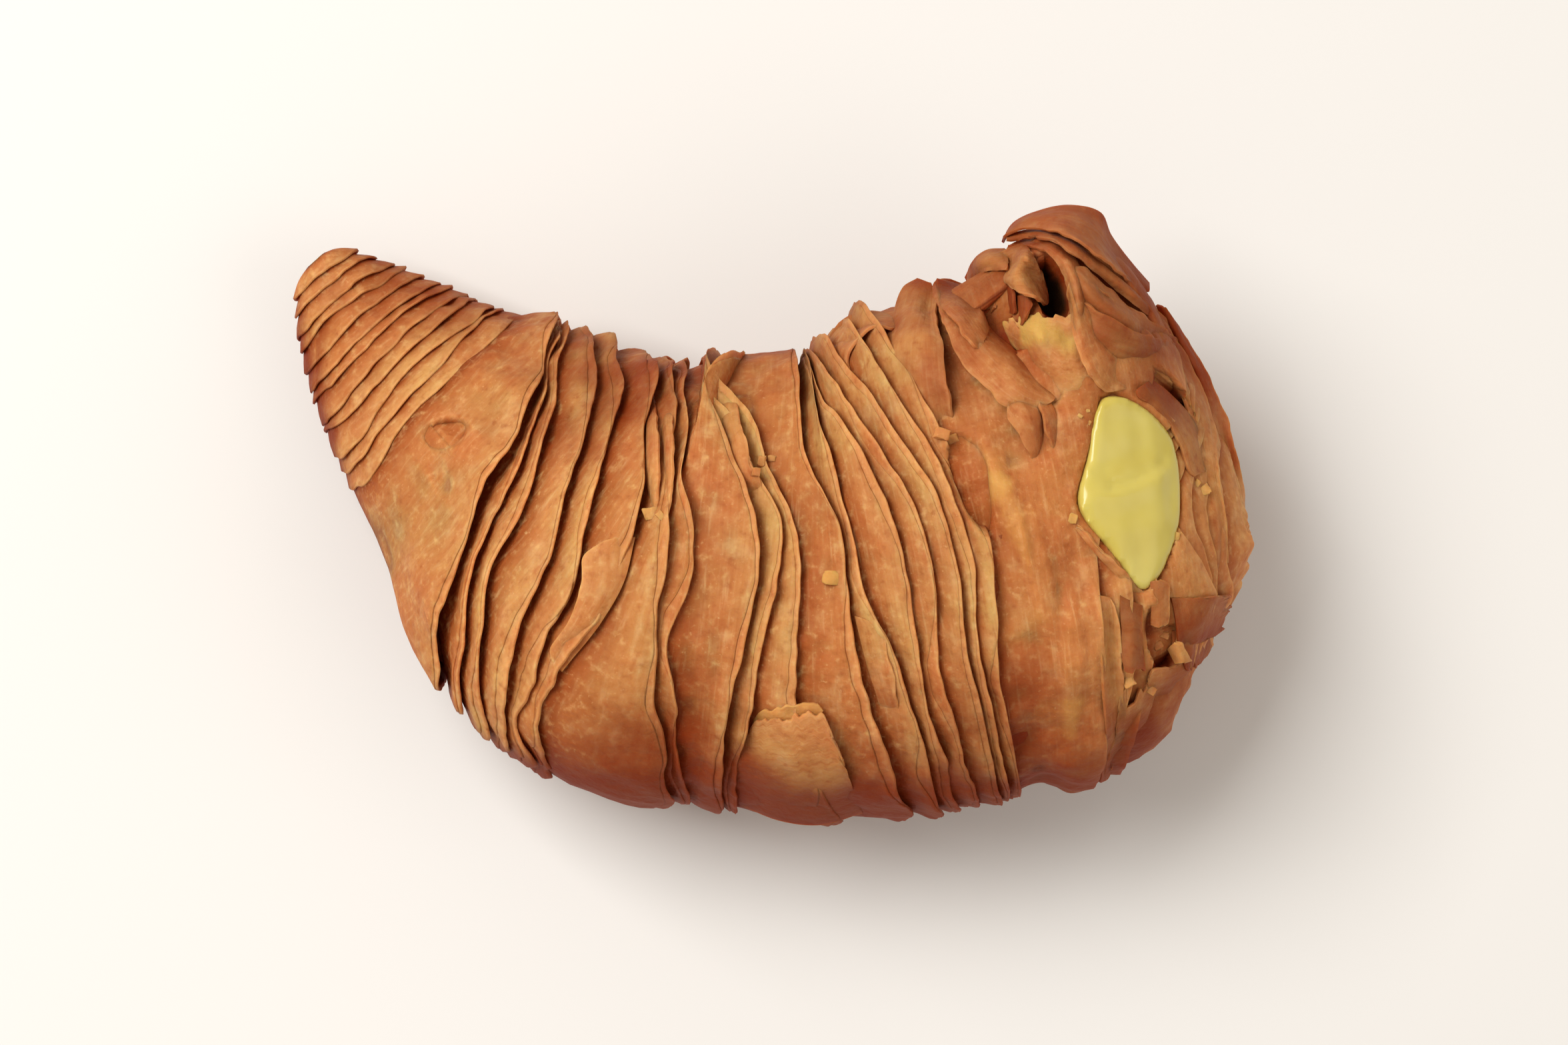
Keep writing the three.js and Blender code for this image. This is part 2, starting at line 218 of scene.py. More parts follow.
# Where each leaf's free edge lies along the body, at these angles round it. The tail's fine
# ridges go straight round, so each of them has one place.
EDGE_ANGLES = (0, 30, 45, 60, 75, 90, 105, 120, 150, 180)
UNDERNEATH = 290  # angle under the body, where an edge is half way between its two ends
TAIL_EDGES = (1.8, 3.0, 4.6, 5.7, 7.4, 9.0, 10.0, 11.9, 13.0, 14.8, 16.0, 17.9)
MIDDLE_EDGES = [
    (21.0, 22.0, 22.9, 24.4, 25.9, 27.2, 28.5, 30.3, 34.0, 36.5),
    (21.6, 22.6, 23.4, 25.1, 26.8, 28.6, 30.2, 31.8, 36.2, 38.6),
    (22.4, 23.3, 24.2, 26.2, 28.1, 30.5, 32.3, 33.6, 38.4, 40.2),
    (24.3, 25.7, 27.7, 29.7, 32.0, 34.2, 36.4, 38.1, 40.2, 41.2),
    (26.5, 28.0, 30.0, 32.2, 34.4, 36.9, 39.2, 40.0, 41.0, 42.0),
    (29.2, 31.4, 33.4, 35.6, 39.0, 41.2, 41.7, 41.3, 41.8, 42.8),
    (31.4, 33.2, 35.9, 38.5, 43.0, 44.8, 44.9, 45.7, 47.1, 47.8),
    (33.0, 34.8, 37.0, 40.7, 46.0, 47.1, 46.1, 46.6, 48.2, 49.4),
    (40.0, 43.5, 48.0, 49.8, 52.4, 53.1, 53.0, 52.2, 52.7, 53.4),
    (41.5, 44.6, 49.4, 51.3, 54.8, 55.0, 54.5, 54.2, 53.9, 54.6),
    (44.0, 47.4, 50.9, 53.0, 56.1, 57.2, 57.2, 57.4, 59.4, 60.4),
    (56.0, 56.1, 56.3, 57.7, 61.2, 61.5, 61.5, 62.1, 63.5, 64.6),
    (58.4, 59.4, 60.5, 61.8, 62.5, 62.8, 64.1, 65.0, 66.4, 67.2),
    (60.6, 61.8, 63.2, 65.1, 66.5, 66.8, 66.5, 66.7, 67.6, 68.4),
    (62.6, 63.6, 65.0, 66.8, 68.8, 69.1, 68.4, 68.1, 69.1, 70.0),
    (64.6, 65.6, 67.0, 69.3, 71.1, 71.3, 70.7, 70.6, 71.2, 72.0),
    (67.0, 68.2, 69.6, 71.3, 72.4, 72.9, 71.9, 71.6, 72.3, 73.2),
    (69.5, 70.6, 71.7, 73.0, 74.2, 74.8, 73.9, 73.0, 73.9, 74.9),
]
END_EDGES = [
    (96.0, 96.6, 96.3, 94.8, 90.0, 85.0, 83.7, 83.0, 82.6, 82.2),  # the smooth leaf
    (96.5, 97.0, 96.8, 95.6, 91.5, 88.0, 86.9, 86.2, 83.6, 83.2),
    (97.0, 97.5, 97.3, 96.2, 93.0, 90.4, 89.2, 88.6, 85.4, 84.8),
    (97.5, 98.0, 97.8, 96.8, 94.3, 92.3, 94.0, 94.4, 90.6, 89.8),
    (98.0, 98.5, 98.3, 97.4, 95.4, 94.0, 95.0, 95.1, 92.2, 91.4),
    (98.5, 99.0, 98.8, 98.0, 96.7, 95.8, 95.8, 95.8, 94.0, 93.2),
    (99.0, 99.5, 99.3, 98.8, 98.2, 97.7, 97.4, 97.1, 96.2, 95.7),
    (99.9, 100.2, 100.2, 100.1, 100.0, 99.9, 99.8, 99.6, 99.2, 99.0),
    (100.5, 100.7, 100.7, 100.6, 100.5, 100.4, 100.3, 100.2, 100.0, 99.9),
    (100.9, 101.1, 101.1, 101.0, 101.0, 100.9, 100.8, 100.7, 100.6, 100.5),
]
FIRST_MIDDLE = len(TAIL_EDGES)
FIRST_END = FIRST_MIDDLE + len(MIDDLE_EDGES)
SMOOTH_LEAF = FIRST_END  # the wide one round the mouth
LEAVES = FIRST_END + len(END_EDGES)

TAIL_LIP = 0.5  # step at a tail leaf's edge
BODY_LIP = 1.15  # step at a narrow leaf's edge
LIP_PER_WIDTH = 0.14  # added step for each mm of visible width
EDGE_GAP = 0.45  # least distance between two edges
CROWDED_GAP = 0.12  # and where they crowd at the fat end
FIRST_GAP = 0.3  # from either end of the centreline to the nearest edge
END_GAP = 0.02  # nothing comes nearer to the ends of the centreline
HIDDEN = 2.2  # how far a leaf runs on under the one before it
THICK = 0.42  # of a leaf
TAIL_THICK = 0.3
LAYER_THICK = 0.24  # of the thin upper layer of a leaf
LAYER_RISE = 0.14  # how far that layer lies over the leaf
ROOT_RISE = 0.12  # of a leaf over the bare body, where it comes out from under the last one
TUCK = 0.26  # fall of a leaf's hidden part for each mm
NOSE = 0.12  # how far the rounded free edge stands out
BASE_GAP = 0.02  # no leaf that goes round the body comes nearer to the base
CORE_GAP = 0.05  # nor the core than this
CORE_DEPTH = 0.25  # of the core under the bare body
FRINGE = 2.4  # width of a leaf's painted shade at its root and of its painted highlight at its edge
SHADE_FREE = 0.6  # depth in a pit below which the dough gets darker
DARK_INSIDE = 0.3  # how much darker it is for each mm below that
FIBRE_SHIFT = 9.7  # mm between the fibre patterns of one leaf and the next
FIBRE_RADIUS = 18  # of a circle about as long as the way round the body
SEED = 17


def stream(*key):
    """Random numbers that depend on the key alone."""
    return random.Random(SEED * 7919 + sum((i + 1) * 104729 * k for i, k in enumerate(key)))


def waves(angle, rng, low, high, count):
    """A wandering line round the body, mostly within -1 to 1."""
    total = np.zeros_like(angle)
    for _ in range(count):
        turns = rng.randint(low, high)
        total += math.sin(rng.random() * TAU) * np.cos(np.radians(angle) * turns + rng.random() * TAU)
    return total / math.sqrt(count)


def edge_places(angle):
    """Every leaf's edge at the given angles, the edges kept in order."""
    at = np.array([UNDERNEATH - 360, *EDGE_ANGLES, UNDERNEATH, 360])
    wrapped = np.where(angle > UNDERNEATH, angle - 360, angle)
    places = []
    for i in range(LEAVES):
        if i < FIRST_MIDDLE:
            u = TAIL_EDGES[i]
            free = min(1, u / 14)
            shared = np.sin(np.radians(2 * angle) + 0.11 * u + 1)
            loose = 0.55 * waves(angle, stream(1, i), 1, 4, 3)
            loose = loose + 0.1 * waves(angle, stream(2, i), 6, 14, 4)
            place = u + free * (0.5 * shared + loose)
        else:
            keys = (MIDDLE_EDGES + END_EDGES)[i - FIRST_MIDDLE]
            under = (keys[0] + keys[-1]) / 2
            place = smooth(at, [under, *keys, under, keys[0]], wrapped)
            place = place + 0.16 * waves(angle, stream(2, i), 6, 15, 4)
            place = place + 0.05 * waves(angle, stream(3, i), 25, 60, 6)
        least = places[-1] + EDGE_GAP if places else FIRST_GAP
        place = np.clip(place, least, LENGTH - FIRST_GAP - CROWDED_GAP * (LEAVES - i))
        places.append(place)
    return np.array(places)


def lip_height(i, angle, width):
    """How far a leaf's edge stands over the bare body, where so much of the leaf is visible."""
    if i < FIRST_MIDDLE:
        return TAIL_LIP * (1 + 0.3 * waves(angle, stream(4, i), 3, 9, 3))
    pinch = np.minimum(1, 0.3 + width / 1.2)
    height = (BODY_LIP + LIP_PER_WIDTH * np.minimum(width, 7)) * pinch
    height = height * (1 + 0.28 * waves(angle, stream(5, i), 4, 14, 5))
    # pressed flat low on the front
    height = height * (1 - 0.55 * hump(turn(angle - 215), 62))
    if i < FIRST_END:
        # bunched up on the hollow side
        return height * (1 + 0.3 * hump(turn(angle - 28), 26)) + 0.05
    # the leaves of the fat end lie flat over the crest and the rolled corner
    crest = hump(turn(angle - 80), 40)
    corner = hump(turn(angle - 20), 52)
    return height * (1 - 0.6 * crest) * (1 - 0.9 * corner) + 0.04


# ---- Meshes ------------------------------------------------------------------------------------


def clear_selection():
    """Nothing is selected, and no mesh is being edited."""
    if bpy.context.object and bpy.context.object.mode != "OBJECT":
        bpy.ops.object.mode_set(mode="OBJECT")
    bpy.ops.object.select_all(action="DESELECT")


def set_points(piece, points):
    """Puts the vertices at points in mm of the part's source."""
    placed = (np.asarray(points, float) - MIDDLE) * MM
    piece.data.vertices.foreach_set("co", placed.astype(np.float32).ravel())
    piece.data.update()


def get_points(piece):
    """The vertices as points in mm of the part's source."""
    flat = np.zeros(len(piece.data.vertices) * 3, np.float32)
    piece.data.vertices.foreach_get("co", flat)
    return flat.reshape(-1, 3).astype(float) / MM + MIDDLE


def unit_points(piece):
    """The vertices of a primitive as it was added at the middle, in its own units."""
    return (get_points(piece) - MIDDLE) * MM


def paint(piece, across, own, bake_and_shade, gold=0.0, fibre=None):
    """Stores for the material: place across the leaf, the leaf's own number, how dark it is from
    browning and painted shade, how golden and spongy it is, and a place in mm for the fibres along it."""
    count = len(piece.data.vertices)
    values = np.ones((count, 4), np.float32)
    values[:, 0] = across
    values[:, 1] = own
    values[:, 2] = bake_and_shade
    values[:, 3] = gold
    layer = piece.data.color_attributes.new("leaf", "FLOAT_COLOR", "POINT")
    layer.data.foreach_set("color", values.ravel())
    if fibre is not None:
        layer = piece.data.attributes.new("fibre", "FLOAT_VECTOR", "POINT")
        layer.data.foreach_set("vector", np.asarray(fibre, np.float32).ravel())


def fibre_places(u, angle):
    """Places for fibres that run round the body: u in mm, and a circle of about its girth."""
    turned = np.radians(angle)
    return np.stack([u, FIBRE_RADIUS * np.cos(turned), FIBRE_RADIUS * np.sin(turned)], -1)


def crumple(points, seed, small, large, count=26):
    """A smooth random field for the dough's uneven surface, with waves from small to large in
    mm. It is mostly within -1 to 1 and seldom past 2."""
    rng = stream(9, seed)
    total = np.zeros(len(points))
    for k in range(count):
        size = small * (large / small) ** (k / (count - 1))
        way = np.array([rng.gauss(0, 1) for _ in range(3)])
        way /= np.linalg.norm(way)
        total += size / large * np.sin(points @ way * (TAU / size) + rng.random() * TAU)
    return total / math.sqrt(count / 6)


def face_outwards(piece):
    clear_selection()
    bpy.context.view_layer.objects.active = piece
    piece.select_set(True)
    bpy.ops.object.mode_set(mode="EDIT")
    bpy.ops.mesh.select_all(action="SELECT")
    bpy.ops.mesh.normals_make_consistent(inside=False)
    bpy.ops.object.mode_set(mode="OBJECT")


def join(pieces, name):
    """Joins the pieces into one with this name, its faces outwards and smooth."""
    clear_selection()
    for piece in pieces:
        piece.select_set(True)
    bpy.context.view_layer.objects.active = pieces[0]
    if len(pieces) > 1:
        bpy.ops.object.join()
    joined = bpy.context.view_layer.objects.active
    joined.name = name
    joined.data.name = name
    face_outwards(joined)
    bpy.ops.object.shade_smooth()
    return joined


def crest_share(points):
    """Height as a share of the crest's height there."""
    u = np.interp(points[:, 0], STATIONS[:, 0], ALONG)
    return points[:, 2] / (centre_height(u) + HEIGHT_SHARE * half_width(u))


SHADE_AND_BROWN_FALL = 0.34  # share of the height below the crest over which the dough gets browner and painted shade darkens it
FAT_END = (33, 42)  # x over which the fat end gets paler
FRONT = (-12, 8)  # y over which the darker front ends
TAIL_TURN = -12  # x from which the tail turns back, and its front with it
CORNER = (32, 22)  # middle of the rolled corner, seen from above


def baked_and_shaded(points):
    """How dark the dough is: browning low on the front and at the red-brown rolled corner, with
    painted shade over the low front, which faces away from the light. It is paler again towards
    the base and the fat end."""
    x, y = points[:, 0], points[:, 1]
    share = crest_share(points)
    # painted shade with browning: darker below the crest, and more so on the front
    low = np.clip((1 - share) / SHADE_AND_BROWN_FALL, 0, 1) ** 0.8
    low = low * (1 - 0.45 * ramp(*FAT_END, x)) * (0.6 + 0.4 * ramp(0.1, 0.45, share))
    front = 1 - ramp(*FRONT, y + np.minimum(0, x - TAIL_TURN))
    corner = 0.42 * (1 - ramp(6, 15, np.hypot(x - CORNER[0], y - CORNER[1])))
    patchy = 0.07 * crumple(points, 3, 9, 26, 12) + 0.06 * crumple(points, 4, 2, 8, 12)
    return np.clip(low * (0.5 + 0.5 * front) + corner + patchy, 0, 1)


def pit_shade(sunk):
    """How much darker the dough is so deep in a pit."""
    return DARK_INSIDE * np.maximum(sunk - SHADE_FREE, 0)


# Outline of the mouth seen from above.
MOUTH = [
    (29.7, 12), (32.8, 11.9), (36.7, 9), (37.8, 4.5), (37.3, -0.8),
    (33.9, -6.4), (30.7, -3.1), (27.1, 1.6), (28, 5.7),
]
MOUTH_DEPTH = 3.2  # how far the dough dips under the cream
MOUTH_MIDDLE = (32.5, 3)
MOUTH_REACH = 13  # every point of the mouth is nearer to its middle
UPPER_SIDE = 15  # height above which the mouth opens
# Pits and, with a depth below 0, swollen folds, seen from above: x, y, half length, half width,
# direction in degrees, depth
PITS = [
    (25.4, 21.6, 3.2, 1.5, -70, 7.0),  # dark hollow of the rolled corner
    (19.8, 22.3, 1.7, 1.2, 40, 3.6),  # small tunnel in its curled lobe
    (31.4, 21.9, 5.2, 1.1, -40, 2.6),  # groove under its outer roll
    (20.9, 18.1, 3.0, 1.2, -50, 2.0),  # dark dip under the twisted leaf
    (23.8, 14.0, 3.2, 1.3, -55, 1.8),
    (17.6, 3.8, 4.6, 1.3, -72, 4.8),  # gap beside the last ridge
    (20.6, 2.4, 6.4, 1.1, -72, -0.9),  # pale rim along it
    (23.5, -4.0, 7.0, 1.4, -78, -0.5),  # soft folds of the smooth leaf
    (27.0, -13.0, 7.0, 1.2, -86, -0.5),
    (35.6, -10.4, 2.8, 1.2, -72, 5.2),  # cavity at the broken corner
    (37.3, 11.9, 3.0, 1.1, -52, 4.2),  # slit above the mouth
    (-30.1, 9.2, 1.9, 1.2, 15, 3.0),  # small hole near the tail
    (-30.6, 4.9, 1.9, 0.9, -70, 0.6),
]


def closed_curve(keys, count):
    """Points on a smooth closed line through the keys."""
    keys = np.asarray(keys, float)
    ring = np.vstack([keys[-3:], keys, keys[:3]])
    at = np.arange(len(ring))
    t = 3 + np.arange(count) * len(keys) / count
    return np.stack([smooth(at, ring[:, axis], t) for axis in range(2)], -1)


def inside_by(points, outline):
    """How far inside an outline each point lies, seen from above; negative outside."""
    near = np.hypot(*(points[:, None, :2] - outline[None]).transpose(2, 0, 1))
    best = near.argmin(1)
    ahead = np.roll(outline, -1, 0)[best] - np.roll(outline, 1, 0)[best]
    away = points[:, :2] - outline[best]
    turned = ahead[:, 0] * away[:, 1] - ahead[:, 1] * away[:, 0]
    return np.where(turned < 0, 1, -1) * near.min(1)


def inside_mouth(points):
    """How far inside the mouth each point lies, seen from above; negative outside."""
    return inside_by(points, closed_curve(MOUTH, 160))


def hollows(points):
    """How far the upper side dips at the mouth and the pits."""
    x, y = points[:, 0], points[:, 1]
    depth = np.zeros(len(points))
    close = np.hypot(x - MOUTH_MIDDLE[0], y - MOUTH_MIDDLE[1]) < MOUTH_REACH
    close = close & (points[:, 2] > UPPER_SIDE)
    depth[close] = MOUTH_DEPTH * ramp(0.1, 1.3, inside_mouth(points[close]))
    top = ramp(0.5, 0.68, crest_share(points))  # the pits fade out down the sides
    for pit_x, pit_y, long, wide, way, deep in PITS:
        way = math.radians(way)
        dx, dy = x - pit_x, y - pit_y
        along = (dx * math.cos(way) + dy * math.sin(way)) / long
        beside = (dy * math.cos(way) - dx * math.sin(way)) / wide
        depth += top * deep * (1 - ramp(0.55, 1.25, np.hypot(along, beside)))
    return depth


def outward_flat(points):
    """Roughly outwards from the body's inside, for small surface moves."""
    inner = np.stack([points[:, 0], -2 + 0 * points[:, 1], 14 + 0 * points[:, 2]], -1)
    tail = points[:, 0] < TAIL_TURN
    inner[tail, 1] = -2 - (points[tail, 0] - TAIL_TURN) * 0.95
    inner[tail, 2] = 12
    out = points - inner
    return out / np.linalg.norm(out, axis=1, keepdims=True)


NARROW_TOP = 9  # points across a leaf's upper side
WIDE_TOP = 28  # and across that of a wide leaf
WIDE_FROM = 6  # width in mm from which a leaf is wide
UNDER = (0.98, 0.9, 0.6, 0.2)  # places of the points on its under side


def leaf_ring(i, start, edge, angle, layer=0.0, back=0.0):
    """One leaf that goes right round the body: a ring of dough from under the last leaf's edge
    to its own free edge, which stands off the body. A leaf's thin upper layer lies so far over
    it and ends so far back from its edge."""
    width = edge - start
    fine = WIDE_TOP if np.max(width) > WIDE_FROM else NARROW_TOP
    rows = [("top", (s / (fine - 1)) ** 0.8) for s in range(fine)]
    rows += [("nose", 1.0)]
    rows += [("under", share) for share in UNDER]
    bpy.ops.mesh.primitive_torus_add(
        major_segments=len(angle), minor_segments=len(rows), major_radius=0.03, minor_radius=0.01
    )
    piece = bpy.context.object
    lip = lip_height(i, angle, width)
    hidden = np.minimum(HIDDEN, start - 0.1) if i else start * 0
    rng = stream(6, i)
    puff = (0.1 + 0.25 * rng.random()) * np.minimum(width / 6, 1)
    thick = THICK if i >= FIRST_MIDDLE else TAIL_THICK
    thick = LAYER_THICK if layer else thick
    end = edge - back
    reach = np.minimum(width, FRINGE)
    points = np.zeros((len(angle), len(rows), 3))
    across = np.zeros((len(angle), len(rows)))
    fibre = np.zeros((len(angle), len(rows), 3))
    for step, (side, share) in enumerate(rows):
        u = start - hidden + (end - start + hidden) * share
        seen = np.clip((u - start) / width, 0, 1)
        height = ROOT_RISE + (lip - ROOT_RISE) * seen ** 1.25
        height = height + puff * np.sin(math.pi * seen) ** 1.5
        height = height + layer - TUCK * np.maximum(0, start - u)
        if side == "nose":
            u = u + NOSE
            height = height - thick * 0.45  # near the middle of its thickness
        if side == "under":
            height = height - thick
        points[:, step] = over(np.clip(u, END_GAP, LENGTH - END_GAP), angle, height)
        fibre[:, step] = fibre_places(u + FIBRE_SHIFT * i, angle)
        # across: 0 at the root, which gets painted shade under the last leaf's edge, and 1 at the free
        # edge, which gets a painted highlight
        root, free = (u - start) / reach, (edge - u) / reach
        across[:, step] = 0.5 + 0.5 * (np.clip(root, 0, 1) - np.clip(free, 0, 1))
    flat = points.reshape(-1, 3)
    rough = 0.09 * crumple(flat, 100 + i, 1.6, 6)
    if i == SMOOTH_LEAF:
        rough = rough + 0.16 * crumple(flat, 77, 3, 9, 14)
    flat = flat + outward_flat(flat) * rough[:, None]
    sunk = hollows(flat)
    flat[:, 2] = np.maximum(flat[:, 2] - sunk, BASE_GAP)
    set_points(piece, flat)
    own = rng.random() if i < FIRST_END else 0.75 + 0.2 * (rng.random() - 0.5)
    gold = np.clip(-0.6 * sunk, 0, 0.5)
    if i == SMOOTH_LEAF:
        gold = gold + 0.3 * np.clip(crumple(flat, 78, 2, 9, 14), 0, 1)
    paint(piece, across.ravel(), own, baked_and_shaded(flat) + pit_shade(sunk), gold, fibre)
    return piece


AROUND_BODY = 256  # points round a leaf
AROUND_TAIL = 200


def dense_angles(count):
    """Steps round the body, closer together on the crest than underneath."""
    turned = TAU * np.arange(count) / count
    return np.degrees(turned + 0.42 * np.cos(turned)) % 360


def make_leaves():
    """All the leaves that go round the body, in groups from the tail tip to the fat end."""
    pieces = {"tail_leaves": [], "middle_leaves": [], "end_leaves": [], "thin_layers": []}
    fine = dense_angles(AROUND_BODY)
    coarse = dense_angles(AROUND_TAIL)
    fine_places = edge_places(fine)
    coarse_places = edge_places(coarse)
    for i in range(LEAVES):
        tail = i < FIRST_MIDDLE
        angle, places = (coarse, coarse_places) if tail else (fine, fine_places)
        start = places[i - 1] if i else places[0] * 0 + 0.15
        group = "tail_leaves" if tail else "middle_leaves" if i < FIRST_END else "end_leaves"
        pieces[group].append(leaf_ring(i, start, places[i], angle))
        if group == "middle_leaves":
            back = 0.45 + 0.5 * waves(angle, stream(7, i), 3, 12, 5)
            back = np.clip(back, -0.02, 0.6 * (places[i] - start))
            layer = leaf_ring(i, start, places[i], angle, LAYER_RISE, back)
            pieces["thin_layers"].append(layer)
    return [join(parts, name) for name, parts in pieces.items()]


def make_core(pitted=True):
    """The closed body under the leaves, with its pits or without."""
    bpy.ops.mesh.primitive_uv_sphere_add(segments=120, ring_count=110, radius=1)
    piece = bpy.context.object
    unit = unit_points(piece)
    polar = np.arccos(np.clip(unit[:, 2], -1, 1)) / math.pi
    angle = np.degrees(np.arctan2(unit[:, 1], unit[:, 0])) % 360
    u = np.clip(LENGTH * polar, END_GAP, LENGTH - END_GAP)
    points = over(u, angle, -CORE_DEPTH)
    sunk = hollows(points) if pitted else np.zeros(len(points))
    points[:, 2] = np.maximum(points[:, 2] - sunk, CORE_GAP)
    set_points(piece, points)
    covered = 1 - ramp(LENGTH - 4, LENGTH - 1, u)  # the very end shows between the leaves
    # painted shade: under the leaves the core shows only in the gaps between them, so there it is
    # painted darker and given the root's painted shade
    dark = baked_and_shaded(points) + 0.25 * covered + pit_shade(sunk)
    paint(piece, 0.5 - 0.4 * covered, 0.5, dark, 0.0, fibre_places(u, angle))
    return join([piece], "dough_core")


# ---- Loose leaves ------------------------------------------------------------------------------

# The photograph's size in pixels, and its camera, which looks straight down: its place in mm,
# and its reach, the distance in mm at which one mm shows as one pixel.
PHOTO = {"across": 2352, "down": 1568, "x": -35.32, "y": -30.25, "z": 560, "reach": 4266}
LOOSE_LIFT = 0.45  # loose leaves lie over the leaves that go round the body
BROKEN_LIFT = -0.2  # at the broken corner they rest on those leaves themselves
LOOSE_THICK = 0.28
LEAF_LONG = 60  # points along a loose leaf's free edge
LEAF_WIDE = 14  # points from its root to that edge


def sight(px, py, z):
    """The point at height z that the photograph shows at a pixel."""
    share = (PHOTO["z"] - z) / PHOTO["reach"]
    x = PHOTO["x"] + (px - PHOTO["across"] / 2) * share
    return np.array([x, PHOTO["y"] - (py - PHOTO["down"] / 2) * share, z])


def surface(pieces):
    """The outer surface of some pieces, to rest others on."""
    points, faces = [], []
    for piece in pieces:
        first = len(points)
        points += [Vector(point) for point in get_points(piece)]
        faces += [[first + k for k in face.vertices] for face in piece.data.polygons]
    return BVHTree.FromPolygons(points, faces)


def resting(tree, px, py, rise):
    """The point over the body at a pixel of the photograph, raised by so much. Beyond the
    outline it is the point of the line of sight that comes nearest to the body."""
    high, low = sight(px, py, 60), sight(px, py, 0)
    way = Vector(low - high).normalized()
    hit = tree.ray_cast(Vector(high), way)[0]
    if hit is None:
        spots = [Vector(sight(px, py, z)) for z in range(12, 38)]
        hit = min(spots, key=lambda spot: tree.find_nearest(spot)[3])
    return np.array(hit) - np.array(way) * rise


def spread_keys(keys, count):
    """So many points evenly along a smooth line through the keys."""
    keys = np.asarray(keys, float)
    run = np.concatenate([[0], np.cumsum(np.linalg.norm(np.diff(keys, axis=0), axis=1))])
    t = np.linspace(0, run[-1], count)
    return np.stack([smooth(run, keys[:, axis], t) for axis in range(3)], -1)


def loose_leaf(tree, lift, name, rows, bake_and_shade, gold=0.0, ragged=0.0):
    """A thin leaf through rows of keys (pixel across, pixel down, rise over the body), from its
    root to its free edge: a grid bent by code, thickened, with a rounded rim. A gold leaf is
    spongy, if very gold then at its free edge only, and a ragged one has a torn edge."""
    number = sum(ord(letter) for letter in name)
    lines = np.array([
        spread_keys([resting(tree, px, py, rise + lift) for px, py, rise in row], LEAF_LONG)
        for row in rows
    ])
    at = np.linspace(0, 1, len(lines))
    t = np.linspace(0, 1, LEAF_WIDE)
    ends = 1 - 0.4 * np.abs(np.linspace(-1, 1, LEAF_LONG)) ** 18  # rounds the edge's corners off
    if ragged:
        torn = crumple(lines[-1], number + 2, 0.5, 1.8)
        ends = ends * (1 - ragged * np.clip(0.5 + 0.5 * torn, 0, 1))
    grid = np.stack(
        [
            np.stack([smooth(at, lines[:, k, axis], t * ends[k]) for k in range(LEAF_LONG)])
            for axis in range(3)
        ],
        -1,
    )
    bpy.ops.mesh.primitive_grid_add(
        x_subdivisions=LEAF_WIDE - 1, y_subdivisions=LEAF_LONG - 1, size=1
    )
    piece = bpy.context.object
    piece.name = name
    flat = grid.reshape(-1, 3)
    across = np.tile(t, LEAF_LONG)
    golden = gold * ramp(0.3, 0.65, across) * (0.8 + 0.4 * crumple(flat, number + 3, 1.5, 5))
    golden = np.clip(np.where(gold > 0.6, golden, gold), 0, 1)
    # spongy dough is rougher, and the free edge wavers
    flat[:, 2] += (0.1 + 0.25 * golden) * crumple(flat, number, 1.4, 6)
    wobble = 0.06 * crumple(flat, number + 1, 0.9, 4)
    flat[:, 0] += wobble * (across > 0.9)
    flat[:, 1] += wobble * (across > 0.9)
    set_points(piece, flat)
    own = 0.3 + 0.5 * stream(8, number).random()
    dark = np.clip(baked_and_shaded(flat) * 0.85 + bake_and_shade, 0, 2)
    run = np.linalg.norm(lines[0, -1] - lines[0, 0])
    reach = np.linalg.norm(lines[-1, LEAF_LONG // 2] - lines[0, LEAF_LONG // 2])
    along = np.repeat(np.linspace(0, run, LEAF_LONG), LEAF_WIDE)
    fibre = np.stack([across * reach, along, 0 * across + number], -1)
    # across runs from the middle at the root to 1 at the free edge, which gets the painted highlight
    paint(piece, 0.5 + 0.5 * across, own, dark, golden, fibre)
    shell = piece.modifiers.new("shell", "SOLIDIFY")
    shell.thickness = LOOSE_THICK * MM
    shell.offset = 0
    rim = piece.modifiers.new("rim", "BEVEL")
    rim.width = 0.3 * LOOSE_THICK * MM
    rim.segments = 2
    rim.angle_limit = math.radians(50)
    bpy.context.view_layer.objects.active = piece
    for modifier in ("shell", "rim"):
        bpy.ops.object.modifier_apply(modifier=modifier)
    return piece


